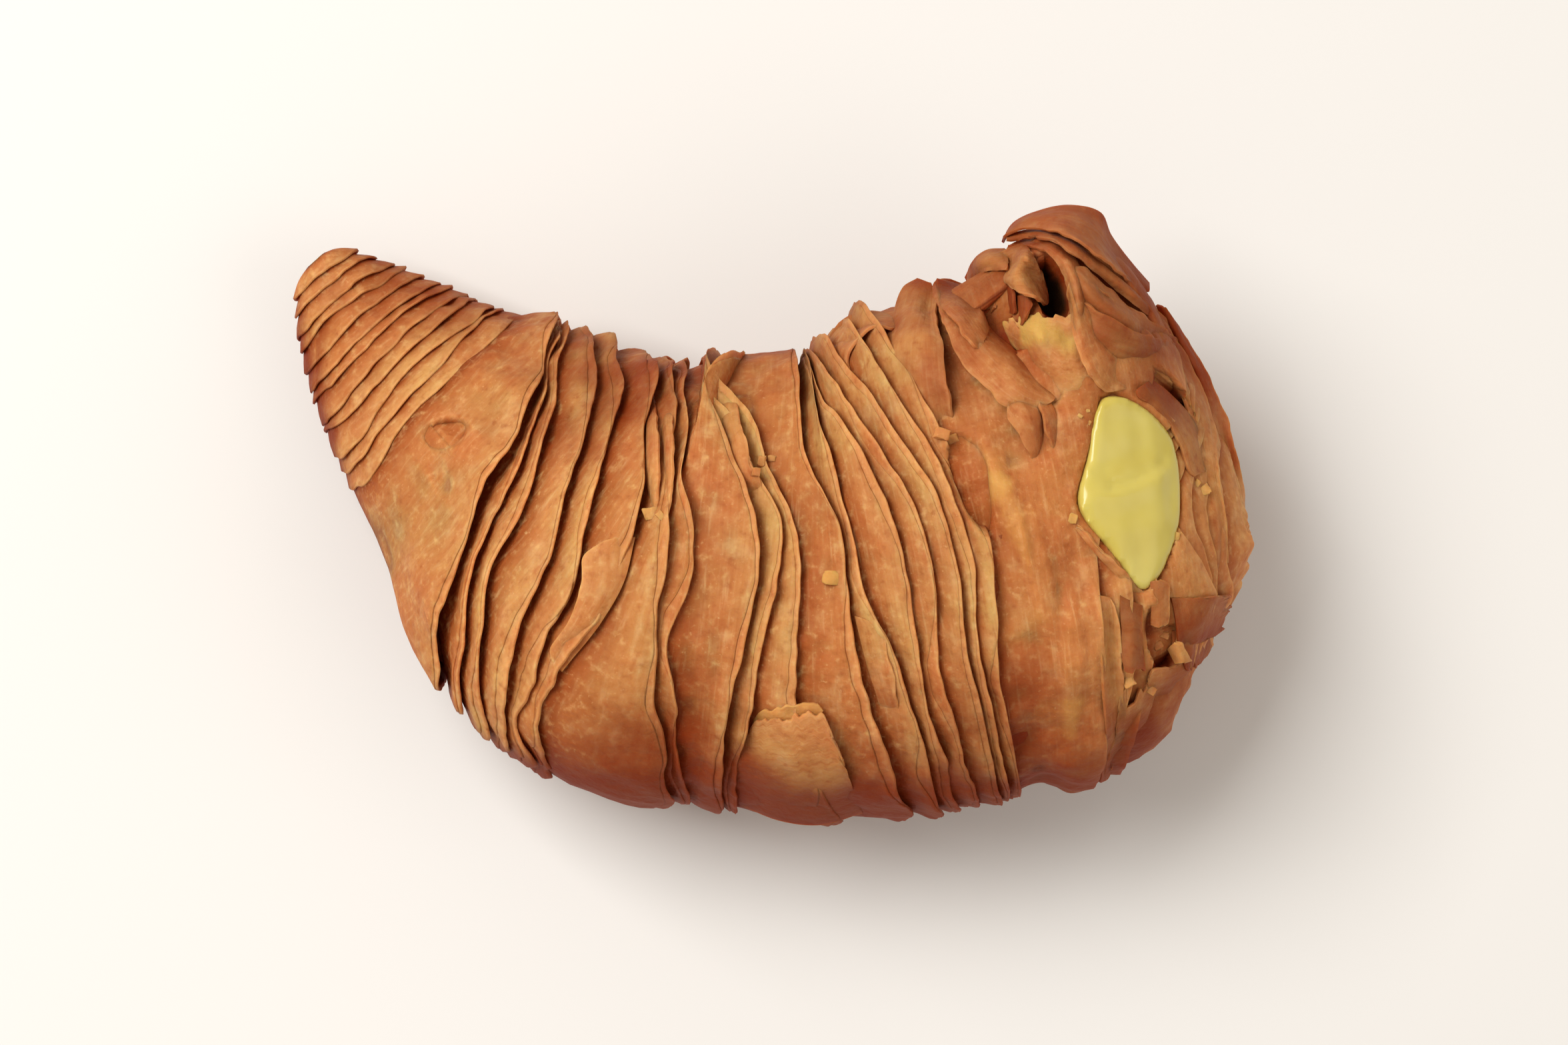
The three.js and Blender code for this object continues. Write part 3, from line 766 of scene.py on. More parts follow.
# Each leaf: its rows from root to free edge, then how dark it is, and where it needs them how
# golden it is and how ragged its edge.
ROLLED_CORNER = {
    "dome": ([
        [(1632, 326, -2), (1640, 312, -1), (1655, 304, -1), (1680, 298, -1), (1705, 303, -1),
         (1713, 320, -1), (1726, 338, -1), (1742, 356, -1)],
        [(1633, 322, 0.6), (1645, 311, 1.4), (1662, 307, 2), (1682, 308, 2.2), (1701, 316, 2.1),
         (1712, 330, 1.6), (1726, 345, 1), (1742, 361, 0.4)],
        [(1634, 321, 1.6), (1647, 315, 2.6), (1662, 316, 3.4), (1680, 321, 3.6), (1697, 330, 3.4),
         (1710, 341, 2.8), (1724, 352, 2), (1741, 365, 1)],
    ], 0.15),
    "under_dome": ([
        [(1636, 321, 0.4), (1650, 317, 1), (1665, 318, 1.4), (1682, 325, 1.4), (1698, 335, 1.4),
         (1714, 348, 1.2), (1732, 363, 1), (1754, 382, 0.5)],
        [(1635, 324, 1), (1649, 320, 1.9), (1664, 320, 2.3), (1681, 327, 2.4), (1698, 339, 2.3),
         (1715, 353, 2), (1734, 368, 1.6), (1756, 388, 0.9)],
        [(1635, 328, 1.1), (1649, 323, 2.1), (1663, 323, 2.5), (1680, 330, 2.6), (1697, 344, 2.5),
         (1715, 359, 2.2), (1735, 375, 1.7), (1757, 393, 1)],
    ], 0.15),
    "roll_rim": ([
        [(1636, 328, 0.2), (1652, 323, 0.6), (1672, 327, 0.6), (1686, 338, 0.6), (1692, 354, 0.5),
         (1695, 372, 0.4), (1697, 392, 0.2)],
        [(1636, 330, 1), (1652, 326, 1.6), (1668, 330, 1.9), (1680, 340, 1.9), (1686, 354, 1.8),
         (1689, 372, 1.5), (1692, 394, 1)],
        [(1637, 333, 1), (1652, 329, 1.8), (1664, 333, 2.2), (1674, 342, 2.4), (1680, 355, 2.3),
         (1683, 372, 2), (1686, 396, 1.4)],
    ], 0.15),
    "leaf_b": ([
        [(1678, 352, 0), (1694, 376, 0), (1714, 392, 0), (1736, 402, 0), (1764, 408, 0)],
        [(1682, 346, 1), (1700, 366, 1.6), (1720, 380, 1.7), (1740, 392, 1.5), (1764, 402, 0.8)],
        [(1688, 340, 1.4), (1707, 357, 2.6), (1726, 372, 2.7), (1744, 384, 2.3), (1763, 396, 1.2)],
    ], 0.2),
    "leaf_c": ([
        [(1680, 384, 0), (1698, 402, 0), (1720, 412, 0), (1744, 416, 0), (1766, 416, 0)],
        [(1684, 374, 0.8), (1703, 390, 1.2), (1722, 400, 1.3), (1744, 405, 1.1), (1766, 408, 0.7)],
        [(1690, 366, 1), (1708, 379, 1.8), (1726, 389, 1.9), (1745, 397, 1.6), (1766, 402, 0.9)],
    ], 0.2),
    "leaf_d": ([
        [(1690, 356, 0.6), (1702, 366, 1), (1708, 374, 1)],
        [(1694, 352, 1.6), (1705, 361, 2.6), (1712, 369, 2.4)],
    ], 0.3),
    "broad_face": ([
        [(1692, 352, 0.2), (1700, 374, 0.2), (1712, 400, 0), (1724, 420, 0), (1734, 434, -0.3)],
        [(1687, 353, 1.2), (1692, 374, 1), (1702, 400, 0.7), (1712, 420, 0.6), (1722, 436, 0.3)],
        [(1683, 356, 2), (1687, 376, 1.7), (1692, 400, 1.3), (1700, 420, 1.1), (1712, 438, 0.7)],
        [(1681, 360, 1.6), (1684, 378, 1.5), (1687, 402, 1.2), (1695, 422, 1), (1708, 440, 0.6)],
    ], 0.05),
    "flap": ([
        [(1616, 340, 1), (1632, 333, 1.8), (1646, 328, 2.2), (1654, 333, 2.2)],
        [(1624, 347, 2.6), (1637, 342, 3.6), (1649, 338, 4), (1658, 343, 3.6)],
        [(1632, 354, 3), (1643, 352, 4), (1655, 350, 4.4), (1664, 354, 4)],
        [(1638, 360, 2.6), (1647, 364, 3.4), (1656, 368, 3.8), (1667, 374, 3.6)],
    ], 0.12),
    "lobe": ([
        [(1606, 362, -0.4), (1606, 350, 0.2), (1612, 338, 0.6), (1621, 332, 0.8), (1634, 331, 1)],
        [(1608, 358, 1.4), (1610, 349, 2.2), (1616, 341, 2.8), (1624, 338, 3), (1636, 339, 3)],
        [(1614, 357, 2.2), (1616, 351, 3), (1621, 347, 3.4), (1628, 346, 3.6), (1637, 348, 3.4)],
    ], 0.12),
    "lobe_foot": ([
        [(1604, 356, -0.8), (1609, 365, -0.4), (1616, 373, -0.2), (1624, 379, 0)],
        [(1607, 354, 0.8), (1612, 361, 0.9), (1619, 369, 0.8), (1626, 375, 0.6)],
        [(1610, 354, 1.6), (1615, 360, 1.5), (1621, 366, 1.3), (1628, 371, 0.9)],
    ], 0.2),
    "lobe_back": ([
        [(1604, 352, -1.2), (1609, 341, -0.8), (1619, 334, -0.4), (1634, 331, 0)],
        [(1608, 362, -1.2), (1614, 352, -1), (1624, 344, -0.6), (1638, 342, -0.2)],
        [(1614, 374, -0.8), (1621, 366, -0.6), (1630, 360, -0.4), (1642, 356, -0.2)],
    ], 0.5),
    "skin": ([
        [(1664, 442, -0.4), (1684, 446, -0.4), (1704, 444, -0.4)],
        [(1654, 422, 0.5), (1674, 424, 0.6), (1699, 422, 0.3)],
        [(1642, 405, 0.7), (1664, 404, 0.9), (1696, 404, 0.4)],
        [(1633, 393, 0.9), (1656, 389, 1.1), (1694, 389, 0.5)],
        [(1629, 386, 0.7), (1652, 379, 0.9), (1692, 378, 0.4)],
    ], 0.0, 1.0, 0.12),
    "sliver_left": ([
        [(1635, 358, 0.4), (1637, 368, 0.2), (1638, 379, -0.3)],
        [(1639, 358, 1.8), (1641, 368, 1.4), (1642, 380, 0.6)],
    ], 0.35),
    "sliver_right": ([
        [(1643, 366, 0.4), (1645, 380, 0.4), (1643, 395, -0.3)],
        [(1650, 366, 2), (1650, 376, 1.8), (1646, 388, 0.8)],
        [(1656, 371, 2.2), (1652, 378, 1.8), (1647, 388, 0.9)],
    ], 0.35),
}
HOLLOW_SIDE = {
    "hoop": ([
        [(1502, 440, -0.8), (1500, 404, 0.8), (1510, 387, 0.8), (1527, 379, 0.8), (1548, 380, 0)],
        [(1512, 446, -0.8), (1509, 408, 2.2), (1518, 393, 3), (1532, 384, 3), (1552, 386, 0.6)],
        [(1522, 450, -0.8), (1516, 412, 2.4), (1524, 399, 3.2), (1536, 390, 3.2), (1554, 394, 0.6)],
    ], 0.15),
    "pointed": ([
        [(1546, 446, -0.8), (1544, 410, 0.4), (1550, 382, 0.8), (1557, 361, 0.6), (1568, 354, 0)],
        [(1562, 456, -0.8), (1559, 416, 1.8), (1563, 386, 2.8), (1568, 367, 2.6), (1574, 356, 1)],
        [(1582, 470, -0.8), (1576, 430, 2), (1575, 396, 3.2), (1577, 372, 3), (1579, 358, 1.4)],
        [(1600, 488, -0.8), (1592, 444, 1.6), (1587, 408, 2.8), (1583, 382, 2.8), (1583, 362, 1.4)],
    ], 0.2),
    "twisted": ([
        [(1592, 354, 0.6), (1608, 361, 1), (1616, 376, 1), (1622, 391, 1.2), (1640, 407, 1),
         (1655, 425, 1), (1671, 443, 0.6)],
        [(1586, 354, 1.4), (1600, 368, 2.8), (1610, 386, 3), (1618, 402, 3), (1634, 418, 2.6),
         (1648, 434, 2.2), (1668, 446, 1)],
        [(1581, 356, 1.8), (1590, 376, 3.6), (1599, 394, 3.8), (1609, 412, 3.6), (1624, 428, 3.2),
         (1640, 442, 2.4), (1656, 450, 1.2)],
        [(1578, 358, 1.6), (1584, 378, 3.6), (1592, 398, 3.8), (1601, 416, 3.6), (1615, 431, 3.2),
         (1629, 445, 2.4), (1638, 457, 1)],
    ], 0.25),
    "twisted_inner": ([
        [(1582, 354, 2), (1606, 361, 2.6), (1616, 378, 2.6), (1621, 391, 2.4)],
        [(1583, 364, 3.8), (1600, 374, 4.4), (1611, 388, 4.2), (1618, 400, 3.2)],
        [(1586, 376, 4.4), (1598, 389, 5), (1607, 400, 4.8), (1614, 411, 3.4)],
    ], 0.3),
    "bit_upper": ([
        [(1642, 436, 0.6), (1652, 441, 1), (1659, 453, 1), (1661, 470, 0.6), (1659, 486, -0.4)],
        [(1637, 444, 1.8), (1645, 450, 2.2), (1652, 462, 2), (1656, 476, 1.2), (1657, 489, -0.2)],
        [(1635, 454, 1.6), (1640, 463, 1.8), (1646, 474, 1.6), (1651, 483, 0.8), (1655, 490, -0.4)],
    ], 0.3),
    "bit_lower": ([
        [(1664, 442, 0.6), (1670, 452, 0.6), (1673, 466, 0.4), (1675, 484, -0.4)],
        [(1657, 446, 1.4), (1663, 458, 1.5), (1667, 472, 1), (1672, 486, -0.4)],
    ], 0.3),
}
MOUTH_SIDE = {
    "ribbon_inner": ([
        [(1742, 392, -0.2), (1754, 414, -0.1), (1766, 438, 0), (1774, 464, 0), (1779, 494, 0),
         (1784, 530, 0), (1785, 565, 0), (1782, 592, -0.1)],
        [(1746, 382, 0.8), (1761, 408, 1), (1773, 432, 1), (1783, 458, 1), (1788, 493, 1),
         (1793, 530, 0.9), (1794, 565, 0.8), (1791, 590, 0.5)],
        [(1749, 374, 1.3), (1766, 403, 1.7), (1778, 427, 1.7), (1789, 455, 1.7), (1793, 494, 1.6),
         (1799, 533, 1.4), (1801, 565, 1.3), (1800, 590, 0.8)],
    ], 0.2),
    "ribbon_outer": ([
        [(1748, 372, -0.2), (1764, 406, 0), (1776, 432, 0), (1786, 458, 0), (1790, 492, 0),
         (1796, 530, 0), (1798, 562, 0), (1796, 588, -0.2)],
        [(1754, 374, 0.5), (1772, 410, 0.8), (1786, 438, 0.8), (1797, 468, 0.8), (1803, 500, 0.7),
         (1808, 532, 0.6), (1808, 558, 0.5), (1801, 586, 0.2)],
        [(1758, 378, -0.6), (1779, 414, -0.6), (1795, 445, -0.6), (1806, 476, -0.6), (1813, 515, -0.6),
         (1813, 548, -0.6), (1804, 584, -0.8)],
    ], 0.3),
    "lip_low": ([
        [(1686, 540, 0.3), (1698, 555, 0.4), (1715, 573, 0.4), (1738, 595, 0.1)],
        [(1689, 537, 0.7), (1701, 551, 0.9), (1718, 568, 0.9), (1741, 590, 0.6)],
    ], 0.2, 0.1),
    "lip_right": ([
        [(1743, 428, 0), (1760, 442, 0.1), (1773, 456, 0.1), (1783, 473, 0.1), (1788, 496, 0)],
        [(1735, 434, 1), (1751, 447, 1.3), (1763, 462, 1.4), (1772, 479, 1.3), (1777, 500, 1)],
        [(1729, 438, 0.8), (1745, 449, 1.1), (1757, 463, 1.2), (1766, 480, 1.1), (1771, 501, 0.8)],
    ], 0.4),
    "box_leaf": ([
        [(1742, 580, 0.6), (1743, 596, 0.6), (1743, 612, 0.5)],
        [(1749, 579, 1.3), (1750, 596, 1.5), (1749, 614, 1.2)],
        [(1757, 581, 1.5), (1757, 597, 1.9), (1756, 612, 1.5)],
    ], 0.4),
}
BROKEN = {
    "cut_panel": ([
        [(1703, 590, 0.2), (1705, 640, 0.2), (1708, 690, 0.2), (1704, 730, -0.2)],
        [(1711, 592, 0.5), (1713, 640, 0.6), (1715, 690, 0.5), (1708, 728, 0.1)],
        [(1719, 596, 0.7), (1721, 640, 0.9), (1721, 690, 0.7), (1711, 726, 0.2)],
    ], 0.15),
    "cut_panel_right": ([
        [(1719, 590, 0.1), (1727, 594, 0.1), (1736, 598, 0.1)],
        [(1720, 612, 0.6), (1728, 614, 0.6), (1736, 616, 0.6)],
        [(1720, 632, 0.8), (1728, 635, 0.9), (1737, 636, 0.9)],
        [(1720, 647, 1), (1728, 649, 1.2), (1738, 649, 1.2)],
    ], 0.6, 0.0, 0.1),
    "panel_foot": ([
        [(1712, 720, 0), (1724, 700, 0), (1738, 684, -0.1)],
        [(1716, 690, 0.5), (1730, 678, 0.5), (1744, 668, 0.4)],
        [(1718, 662, 0.8), (1732, 658, 0.9), (1748, 656, 0.8)],
    ], 0.1, 0.1, 0.3),
    "flake_pale": ([
        [(1756, 630, 0.6), (1761, 641, 0.6)],
        [(1760, 626, 1.6), (1767, 640, 1.6)],
        [(1765, 626, 1.8), (1774, 640, 1.6)],
    ], 0.1, 0.4),
    "broken_leaf": ([
        [(1758, 592, 0.5), (1761, 608, 0.5), (1763, 626, 0.4)],
        [(1775, 592, 1), (1777, 608, 1), (1776, 626, 0.9)],
        [(1790, 591, 1.3), (1790, 607, 1.3), (1786, 623, 1.2)],
        [(1804, 588, 1.3), (1801, 605, 1.4), (1795, 622, 1.2)],
    ], 0.55, 0.0, 0.1),
    "broken_edge": ([
        [(1758, 616, 0.2), (1772, 618, 0.3), (1790, 616, 0.2)],
        [(1760, 630, 0.6), (1773, 632, 0.7), (1787, 630, 0.6)],
        [(1762, 646, 0.8), (1772, 646, 1), (1781, 640, 0.8)],
    ], 0.4, 0.0, 0.2),
    "corner_strip": ([
        [(1742, 668, -0.2), (1758, 662, -0.2), (1772, 650, -0.3)],
        [(1740, 656, 0.6), (1756, 652, 0.8), (1772, 644, 0.6)],
        [(1742, 646, 0.9), (1758, 643, 1.1), (1774, 636, 0.9)],
    ], 0.15),
}
TORN = {
    "torn_front": ([
        [(1428, 742, 0.8), (1462, 757, 2.4), (1495, 761, 2.9), (1526, 752, 2.9)],
        [(1433, 718, 0.8), (1460, 726, 2.5), (1488, 728, 3), (1515, 723, 3)],
        [(1438, 698, 0.4), (1462, 701, 2), (1485, 700, 2.7), (1507, 700, 2.7)],
        [(1445, 682, 0.5), (1463, 681, 1.8), (1480, 677, 2.3), (1499, 676, 2.2)],
    ], 0.12, 0.1, 0.07),
    "torn_under": ([
        [(1444, 694, 0.1), (1462, 692, 0.7), (1480, 688, 1.2), (1496, 688, 1.2)],
        [(1446, 684, 0.4), (1463, 682, 1.2), (1480, 678, 1.7), (1496, 678, 1.5)],
        [(1448, 677, 0.6), (1464, 674, 1.3), (1479, 670, 1.7), (1493, 671, 1.4)],
    ], 0.1, 0.55, 0.14),
    "step": ([
        [(1521, 606, 0.5), (1528, 635, 0.5), (1538, 668, 0.4), (1549, 702, 0.2)],
        [(1532, 610, 1.2), (1537, 636, 1.2), (1545, 668, 1), (1554, 702, 0.5)],
        [(1543, 614, 1.5), (1547, 638, 1.6), (1553, 668, 1.3), (1560, 702, 0.6)],
    ], 0.2),
    "corner_leaf": ([
        [(1357, 548, 0.8), (1349, 580, 0.9), (1331, 612, 0.9), (1303, 648, 0.6)],
        [(1338, 550, 1.5), (1334, 584, 1.6), (1320, 610, 1.5), (1297, 641, 1)],
        [(1318, 557, 1.7), (1316, 585, 1.9), (1309, 608, 1.7), (1291, 634, 1.1)],
    ], 0.1),
    "strip_left": ([
        [(1364, 424, 0.6), (1366, 465, 1), (1366, 505, 0.9), (1371, 530, 0.2)],
        [(1368, 424, 1.8), (1370, 465, 2.4), (1371, 505, 2.2), (1372, 531, 1)],
        [(1371, 424, 2.2), (1373, 465, 2.9), (1375, 503, 2.7), (1373, 531, 1.2)],
    ], 0.15),
    "strip_middle": ([
        [(1373, 424, 0.8), (1377, 465, 1.1), (1378, 500, 1), (1379, 528, 0.4)],
        [(1377, 424, 2), (1381, 465, 2.6), (1382, 500, 2.5), (1381, 530, 1.4)],
        [(1381, 424, 2.4), (1385, 465, 3), (1385, 498, 3), (1383, 530, 1.7)],
    ], 0.15),
    "strip_right": ([
        [(1419, 440, 0.8), (1424, 470, 1.2), (1432, 500, 1.2), (1446, 524, -0.6)],
        [(1424, 438, 2), (1431, 468, 2.6), (1440, 498, 2.3), (1452, 522, -0.4)],
        [(1429, 436, 2.4), (1437, 466, 3), (1446, 496, 2.6), (1458, 524, -0.4)],
    ], 0.25),
}


def make_loose_leaves(pitted, plain, leaved):
    """The loose leaves, each group on the surface that it lies on: the body with its pits, the
    body without them, or the leaves that go round it."""
    made = []
    for name, group, tree, lift in (
        ("rolled_corner", ROLLED_CORNER, pitted, LOOSE_LIFT),
        ("standing_leaves", HOLLOW_SIDE, pitted, LOOSE_LIFT),
        ("mouth_leaves", MOUTH_SIDE, plain, LOOSE_LIFT),
        ("broken_corner", BROKEN, leaved, BROKEN_LIFT),
        ("torn_leaves", TORN, plain, LOOSE_LIFT),
    ):
        leaves = [loose_leaf(tree, lift, leaf, *given) for leaf, given in group.items()]
        made.append(join(leaves, name))
    return made


# Loose crumbs: pixel across and down, size in mm, how dark and how golden
CRUMBS = [
    (1503, 578, 1.5, 0, 0.8),
    (1451, 491, 1.0, 0.3, 0.1),
    (1447, 499, 0.8, 0.3, 0.1),
    (1459, 489, 0.7, 0.3, 0.1),
    (1586, 470, 1.4, 0.1, 0.3),
    (1594, 474, 1.2, 0.1, 0.3),
    (1369, 530, 1.3, 0, 0.3),
    (1376, 532, 0.9, 0, 0.3),
    (1684, 533, 1.0, 0, 0.7),
    (1762, 546, 0.8, 0, 0.7),
    (1784, 511, 1.0, 0, 0.6),
    (1778, 506, 0.7, 0, 0.6),
    (1748, 628, 0.9, 0.5, 0),
    (1753, 620, 0.8, 0.4, 0.2),
    (1726, 655, 1.1, 0.2, 0.2),
    (1743, 661, 0.9, 0.4, 0),
    (1690, 456, 0.5, 0, 0.5),
    (1696, 452, 0.4, 0, 0.5),
    (1697, 461, 0.4, 0, 0.5),
]


def make_crumbs(tree):
    """Small broken bits of leaf that lie on the dough."""
    bits = []
    for number, (px, py, size, bake_and_shade, gold) in enumerate(CRUMBS):
        rng = stream(12, number)
        bpy.ops.mesh.primitive_ico_sphere_add(subdivisions=3, radius=1)
        piece = bpy.context.object
        unit = unit_points(piece)
        block = np.sign(unit) * np.abs(unit) ** 0.4  # swells the ball to a block, corners rounded
        block = block * (1 + 0.1 * crumple(unit, 300 + number, 0.5, 1.6))[:, None]
        shape = np.array([0.5, 0.32 + 0.14 * rng.random(), 0.16 + 0.1 * rng.random()]) * size
        spin = rng.random() * math.pi
        block = block * shape
        turned = block.copy()
        turned[:, 0] = block[:, 0] * math.cos(spin) - block[:, 1] * math.sin(spin)
        turned[:, 1] = block[:, 0] * math.sin(spin) + block[:, 1] * math.cos(spin)
        set_points(piece, turned + resting(tree, px, py, 0.1 * size))
        paint(piece, 0.7, 0.3, bake_and_shade, gold)
        bits.append(piece)
    return join(bits, "crumbs")


# ---- Cream -------------------------------------------------------------------------------------

# A crease across the cream, in pixels of the photograph
CREASE = [(1712 + 2 * k, 508 - 0.45 * k - 0.02 * k * k) for k in range(22)]
CREASE_WIDTH = 0.45  # mm
CREAM_HEIGHT = 36  # of the crease over the base
CREAM_VOXEL = 0.5  # size of the fine mesh's cells


def make_cream():
    """The filling: the solid's own shape, remeshed fine and shaped where it shows."""
    source = frame["nodes"]["cream"]
    clear_selection()
    piece = source.copy()
    piece.data = source.data.copy()
    piece.name = "pistachio_cream"
    # the copy is a piece of its own, and no longer a node of the solid model
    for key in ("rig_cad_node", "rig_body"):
        if key in piece:
            del piece[key]
    piece.parent = None
    bpy.context.scene.collection.objects.link(piece)
    bpy.context.view_layer.objects.active = piece
    piece.select_set(True)
    bpy.ops.object.mode_set(mode="EDIT")
    bpy.ops.mesh.select_all(action="SELECT")
    bpy.ops.mesh.remove_doubles(threshold=0.00002)
    bpy.ops.object.mode_set(mode="OBJECT")
    remesh = piece.modifiers.new("remesh", "REMESH")
    remesh.mode = "VOXEL"
    remesh.voxel_size = CREAM_VOXEL * MM
    bpy.ops.object.modifier_apply(modifier="remesh")
    soften = piece.modifiers.new("soften", "SMOOTH")
    soften.iterations = 6
    bpy.ops.object.modifier_apply(modifier="soften")
    points = get_points(piece)
    shown = ramp(-0.2, 2.4, inside_mouth(points)) * (points[:, 2] > UPPER_SIDE)
    crease = np.array([sight(px, py, CREAM_HEIGHT)[:2] for px, py in CREASE])
    away = np.hypot(*(points[:, None, :2] - crease[None]).transpose(2, 0, 1))
    near = away.min(1)
    below = ramp(-1.2, 1.2, crease[away.argmin(1), 1] - points[:, 1])
    fold = -0.45 * hump(near, CREASE_WIDTH) + 0.5 * below * hump(near, 3.5)
    points[:, 2] += shown * (fold + 0.2 * crumple(points, 61, 4, 11, 10) - 0.2)
    set_points(piece, points)
    piece.data.materials.clear()
    bpy.ops.object.shade_smooth()
    return piece


# ---- Materials ---------------------------------------------------------------------------------


def colour(code):
    """A linear colour from an sRGB hex value."""
    parts = [int(code[i:i + 2], 16) / 255 for i in (1, 3, 5)]
    linear = [c / 12.92 if c <= 0.04045 else ((c + 0.055) / 1.055) ** 2.4 for c in parts]
    return (*linear, 1.0)


def add(tree, kind, settings=None, inputs=None):
    """Adds a node, sets its properties, and sets or links its inputs."""
    made = tree.nodes.new(kind)
    for key, value in (settings or {}).items():
        setattr(made, key, value)
    for key, value in (inputs or {}).items():
        if isinstance(value, bpy.types.NodeSocket):
            tree.links.new(value, made.inputs[key])
        else:
            made.inputs[key].default_value = value
    return made


def new_material(name):
    """An empty material and its tree of nodes."""
    made = bpy.data.materials.new(name)
    made.use_nodes = True
    made.node_tree.nodes.clear()
    return made, made.node_tree


def coated(tree, face, coats, follows):
    """A colour with coats laid over it, each where the value that it follows goes from low to
    high, up to a share of full cover."""
    for name, low, high, cover, code in coats:
        share = add(
            tree, "ShaderNodeMapRange", {"interpolation_type": "SMOOTHSTEP"},
            {"Value": follows[name], "From Min": low, "From Max": high, "To Max": cover},
        )
        face = add(
            tree, "ShaderNodeMix", {"data_type": "RGBA"},
            {0: share.outputs["Result"], 6: face, 7: colour(code)},
        ).outputs[2]
    return face


# Noises of the dough: size in mm, and detail. The finest of the real marks wouldn't show, so
# grains, specks and pores are drawn about twice as coarse.
DOUGH_NOISES = {
    "clouds": (9.1, 3.0),  # patches that baked more and less
    "mottles": (2.63, 4.0),
    "blisters": (2.08, 2.0),
    "freckles": (1.43, 3.0),
    "grains": (0.91, 6.0),
    "pores": (0.667, 4.0),
    "specks": (0.385, 2.0),  # of flour
}
FIBRES = (2.6, 0.3, 0.3)  # for each mm: about 0.4 mm wide and 3 mm long, along the leaf
DOUGH_FACE = "#c47c47"
DOUGH_COATS = [
    ("clouds", 0.36, 0.66, 1.0, "#cf9757"),
    ("own", 0.3, 1.3, 1.0, "#bb6a38"),  # some leaves baked redder than others
    ("mottles", 0.5, 0.85, 1.0, "#d9a168"),
    ("across", 0.75, -0.1, 1.0, "#9d4f22"),  # darker towards the root: browner dough and painted shade under the last leaf's edge
    ("across", 0.22, 0.0, 1.0, "#843b15"),  # and painted shade, dark in the corner under the last leaf's edge
    ("across", 0.84, 1.1, 1.0, "#de9a5e"),  # painted highlight: the thin free edge is pale where it catches the light
    ("fibres", 0.55, 0.0, 1.0, "#b0602f"),
    ("fibres", 0.5, 1.1, 1.0, "#deb077"),
    ("grains", 0.5, 0.05, 1.0, "#9a4d22"),
    ("grains", 0.5, 1.0, 1.0, "#e6b474"),
    ("freckles", 0.6, 1.0, 1.0, "#a85a2c"),
    ("specks", 0.6, 1.0, 1.0, "#e0ad72"),
    ("bake_and_shade", 0.0, 0.9, 0.92, "#792303"),  # red-brown: browning low on the front and at the rolled corner, with painted shade over the low front and in pits
    ("gold", 0.1, 1.3, 1.0, "#d0a052"),  # the spongy inside of a torn leaf
    ("bake_and_shade", 1.1, 2.2, 1.0, "#301a0b"),  # painted shade: almost black deep in the pits and the gaps between leaves
]
DOUGH_RELIEF = [  # what it follows, strength, depth in mm
    ("pores", 0.5, 0.25),
    ("blisters", 0.35, 0.6),
    ("fibres", 0.15, 0.3),
]


def baked_dough():
    """Baked leaf dough, brushed with fat: matt gold to red-brown, with a painted highlight on the free
    edges, painted shade at the roots, in the gaps and low on the front, fibres along each leaf, pale
    specks of flour and small blisters."""
    made, tree = new_material("baked_dough")
    place = add(tree, "ShaderNodeTexCoord").outputs["Object"]
    leaf = add(tree, "ShaderNodeAttribute", {"attribute_name": "leaf"}).outputs
    parts = add(tree, "ShaderNodeSeparateColor", None, {"Color": leaf["Color"]}).outputs
    follows = {"across": parts[0], "own": parts[1], "bake_and_shade": parts[2], "gold": leaf["Alpha"]}
    for name, (size, detail) in DOUGH_NOISES.items():
        inputs = {"Vector": place, "Scale": 1 / (size * MM), "Detail": detail}
        follows[name] = add(tree, "ShaderNodeTexNoise", None, inputs).outputs["Fac"]
    fibre = add(tree, "ShaderNodeAttribute", {"attribute_name": "fibre"}).outputs["Vector"]
    drawn = add(tree, "ShaderNodeVectorMath", {"operation": "MULTIPLY"}, {0: fibre, 1: FIBRES})
    inputs = {"Vector": drawn.outputs[0], "Scale": 1.0, "Detail": 4.0}
    follows["fibres"] = add(tree, "ShaderNodeTexNoise", None, inputs).outputs["Fac"]
    relief = {}
    for name, strength, depth in DOUGH_RELIEF:
        inputs = {"Strength": strength, "Distance": depth * MM, "Height": follows[name], **relief}
        relief = {"Normal": add(tree, "ShaderNodeBump", None, inputs).outputs["Normal"]}
    shader = add(
        tree, "ShaderNodeBsdfPrincipled", None,
        {
            "Base Color": coated(tree, colour(DOUGH_FACE), DOUGH_COATS, follows),
            "Roughness": 0.58,
            "Specular IOR Level": 0.08,
            "Subsurface Weight": 0.35,
            "Subsurface Radius": (1.0, 0.35, 0.1),
            "Subsurface Scale": 1.8 * MM,
            **relief,
        },
    )
    add(tree, "ShaderNodeOutputMaterial", None, {"Surface": shader.outputs[0]})
    return made


def pistachio_cream():
    """Pistachio custard cream: smooth, moist and glossy, yellow-green, slightly see-through, with
    faint clouds 4.5 mm wide."""
    made, tree = new_material("pistachio_cream")
    place = add(tree, "ShaderNodeTexCoord").outputs["Object"]
    inputs = {"Vector": place, "Scale": 1 / (4.545 * MM), "Detail": 2.0}
    follows = {"clouds": add(tree, "ShaderNodeTexNoise", None, inputs).outputs["Fac"]}
    coats = [("clouds", 0.35, 0.7, 1.0, "#c8b453")]
    shader = add(
        tree, "ShaderNodeBsdfPrincipled", None,
        {
            "Base Color": coated(tree, colour("#d0be60"), coats, follows),
            "Roughness": 0.22,
            "Specular IOR Level": 0.42,
            "Subsurface Weight": 0.25,
            "Subsurface Radius": (1.0, 0.8, 0.3),
            "Subsurface Scale": 1.5 * MM,
        },
    )
    add(tree, "ShaderNodeOutputMaterial", None, {"Surface": shader.outputs[0]})
    return made


